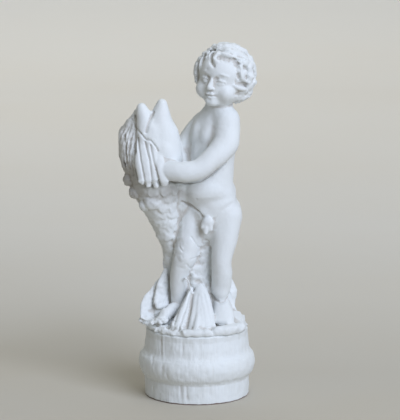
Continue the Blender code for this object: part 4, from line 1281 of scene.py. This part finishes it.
def white_painted_wood(settings):
    """Matte white paint brushed on turned wood: streaks along the grain, a bare bottom edge."""
    finish = Finish("white_painted_wood")
    streaks = finish.noise((2600, 2600, 150), 4, 0.6)
    broad = finish.noise((700, 700, 60))
    mottle = finish.noise(300)
    # Dust and painted shade in the grain, the dents and the corners of the turning
    deep = finish.fade(finish.hollow(), 0.1, 0.9)
    bare = finish.fade(finish.axis("Z") - finish.noise(500) * 0.00035, 0.00012, 0)
    thin = tinted(settings.paint, 0.95, 0.93, 0.90)
    colour = finish.blend(mottle * 0.5, settings.paint, thin)
    colour = finish.blend(finish.fade(streaks, 0.5, 0.3) * 0.5, colour, thin)
    colour = finish.blend(deep * 0.5, colour, settings.dust_and_shade)
    colour = finish.blend(bare, colour, settings.wood)
    relief = streaks + broad * 0.8
    return finish.surface(
        Base_Color=colour,
        Roughness=0.55 + streaks * 0.2,
        Normal=finish.bump(relief, 0.6, 0.00012),
    )


def pale_paper(settings):
    """The sweep's paper: matte, softly blotched, and paler towards the back, which is painted light.
    """
    finish = Finish("pale_paper")
    # Painted light: the floor's colour gives way to the wall's paler one along the paper's depth
    stops = (0.02, 0), (0.10, 0.28), (0.20, 0.44), (0.50, 0.46), (0.90, 1)
    rise = finish.ramp(finish.axis("Y"), *stops)
    blotch = finish.fade(finish.noise(9), 0.4, 0.65)
    paper = finish.blend(blotch, settings.floor, tinted(settings.floor, 0.99, 0.97, 0.93))
    return finish.surface(Base_Color=finish.blend(rise, paper, settings.wall), Roughness=0.9)


def build_sweep():
    """A floor that curves up into a back wall, all one sheet, wide enough to look from any side."""
    near, bend, turn, tall, half = -1.5, 1.0, 0.4, 1.4, 1.6
    rows = [(near, 0), (0, 0), (bend, 0)]
    rows += [(bend + turn * sin(radians(a)), turn - turn * cos(radians(a))) for a in range(6, 91, 6)]
    rows.append((bend + turn, tall))
    bm = bmesh.new()
    loops = [[bm.verts.new((x, y, z)) for x in (-half, half)] for y, z in rows]
    for low, high in zip(loops, loops[1:]):
        bm.faces.new((low[0], low[1], high[1], high[0]))
    mesh = mesh_from(bm, "paper_sweep")
    bm.free()
    mesh.shade_smooth()
    return show("paper_sweep", mesh)


def turn_to(obj, place, aim):
    """Puts a light or the camera there, facing the aim."""
    obj.location = place
    obj.rotation_mode = "QUATERNION"
    obj.rotation_quaternion = (Vector(aim) - Vector(place)).to_track_quat("-Z", "Y")


def add_light(name, place, aim, size, power, colour):
    light = bpy.data.lights.new(name, "AREA")
    light.shape = "SQUARE"
    light.size = size
    light.energy = power
    light.color = colour
    turn_to(show(name, light), place, aim)


def build_world(settings):
    world = bpy.data.worlds.new("soft_room")
    world.use_nodes = True
    background = world.node_tree.nodes["Background"]
    background.inputs["Color"].default_value = (*settings.sky, 1)
    background.inputs["Strength"].default_value = settings.fill
    bpy.context.scene.world = world


def build_camera(settings):
    """The photograph's view: from the front and a little above, through a long lens."""
    camera = show("camera", bpy.data.cameras.new("camera"))
    camera.data.sensor_width = 36
    camera.data.lens = settings.lens
    camera.data.clip_start = 0.01
    turn_to(camera, (AIM[0], -settings.distance, settings.rise), AIM)
    bpy.context.scene.camera = camera


def join_frame(obj, node):
    """The piece stands for its CAD node and rides on its body."""
    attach(obj, "root")
    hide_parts(node)


class CHERUB_OT_stage(bpy.types.Operator):
    """Set up the paper sweep, the soft light and the camera"""

    bl_idname = "cherub.make_stage"
    bl_label = "Make Stage"
    bl_options = {"REGISTER", "UNDO"}

    def execute(self, context):
        settings = context.scene.cherub_stage
        sweep = build_sweep()
        sweep.data.materials.append(pale_paper(settings))
        add_light("key", (0.59, -0.86, 0.69), (0, 0, 0.04), 0.85, settings.key, settings.sun)
        add_light("top", (0, 0.3, 1.3), (0, 0.3, 0), 1.6, settings.top, settings.sky)
        add_light("wash", (-0.1, 0.52, 0.5), (-0.1, 0.85, 0.0), 0.5, settings.wash, (1, 1, 1))
        build_world(settings)
        build_camera(settings)
        context.scene.view_settings.view_transform = "Standard"
        return {"FINISHED"}


class CHERUB_OT_statue(bpy.types.Operator):
    """Build the casting: cherub, fish, tail and rocky base in one"""

    bl_idname = "cherub.make_statue"
    bl_label = "Make Statue"
    bl_options = {"REGISTER", "UNDO"}

    def execute(self, context):
        settings = context.scene.cherub_statue
        obj = build_cast(settings)
        if len(obj.data.polygons) > MOST_FACES:
            raise RuntimeError("the casting's skin has too many faces")
        obj.data.materials.append(white_cast(settings))
        join_frame(obj, "cherub_with_fish")
        return {"FINISHED"}


class CHERUB_OT_plinth(bpy.types.Operator):
    """Build the turned and painted plinth"""

    bl_idname = "cherub.make_plinth"
    bl_label = "Make Plinth"
    bl_options = {"REGISTER", "UNDO"}

    def execute(self, context):
        settings = context.scene.cherub_plinth
        obj = build_plinth(settings)
        obj.data.materials.append(white_painted_wood(settings))
        join_frame(obj, "turned_plinth")
        return {"FINISHED"}


class VIEW3D_PT_cherub(bpy.types.Panel):
    """The statue's settings and its builders"""

    bl_label = "Cherub Statue"
    bl_idname = "VIEW3D_PT_cherub"
    bl_space_type = "VIEW_3D"
    bl_region_type = "UI"
    bl_category = "Cherub"

    def draw(self, context):
        for piece in SETTINGS:
            settings, box = getattr(context.scene, "cherub_" + piece), self.layout.box()
            for name in settings.bl_rna.properties.keys():
                if name not in ("rna_type", "name"):
                    box.prop(settings, name)
            box.operator("cherub.make_" + piece)


SETTINGS = {"statue": StatueSettings, "plinth": PlinthSettings, "stage": StageSettings}
CLASSES = (*SETTINGS.values(), CHERUB_OT_stage, CHERUB_OT_statue, CHERUB_OT_plinth, VIEW3D_PT_cherub)


def register():
    for cls in CLASSES:
        bpy.utils.register_class(cls)
    for piece, settings in SETTINGS.items():
        setattr(bpy.types.Scene, "cherub_" + piece, PointerProperty(type=settings))


def unregister():
    for piece in SETTINGS:
        delattr(bpy.types.Scene, "cherub_" + piece)
    for cls in reversed(CLASSES):
        bpy.utils.unregister_class(cls)


def main():
    register()
    bpy.ops.cherub.make_stage()
    bpy.ops.cherub.make_statue()
    bpy.ops.cherub.make_plinth()


if __name__ == "__main__":
    main()
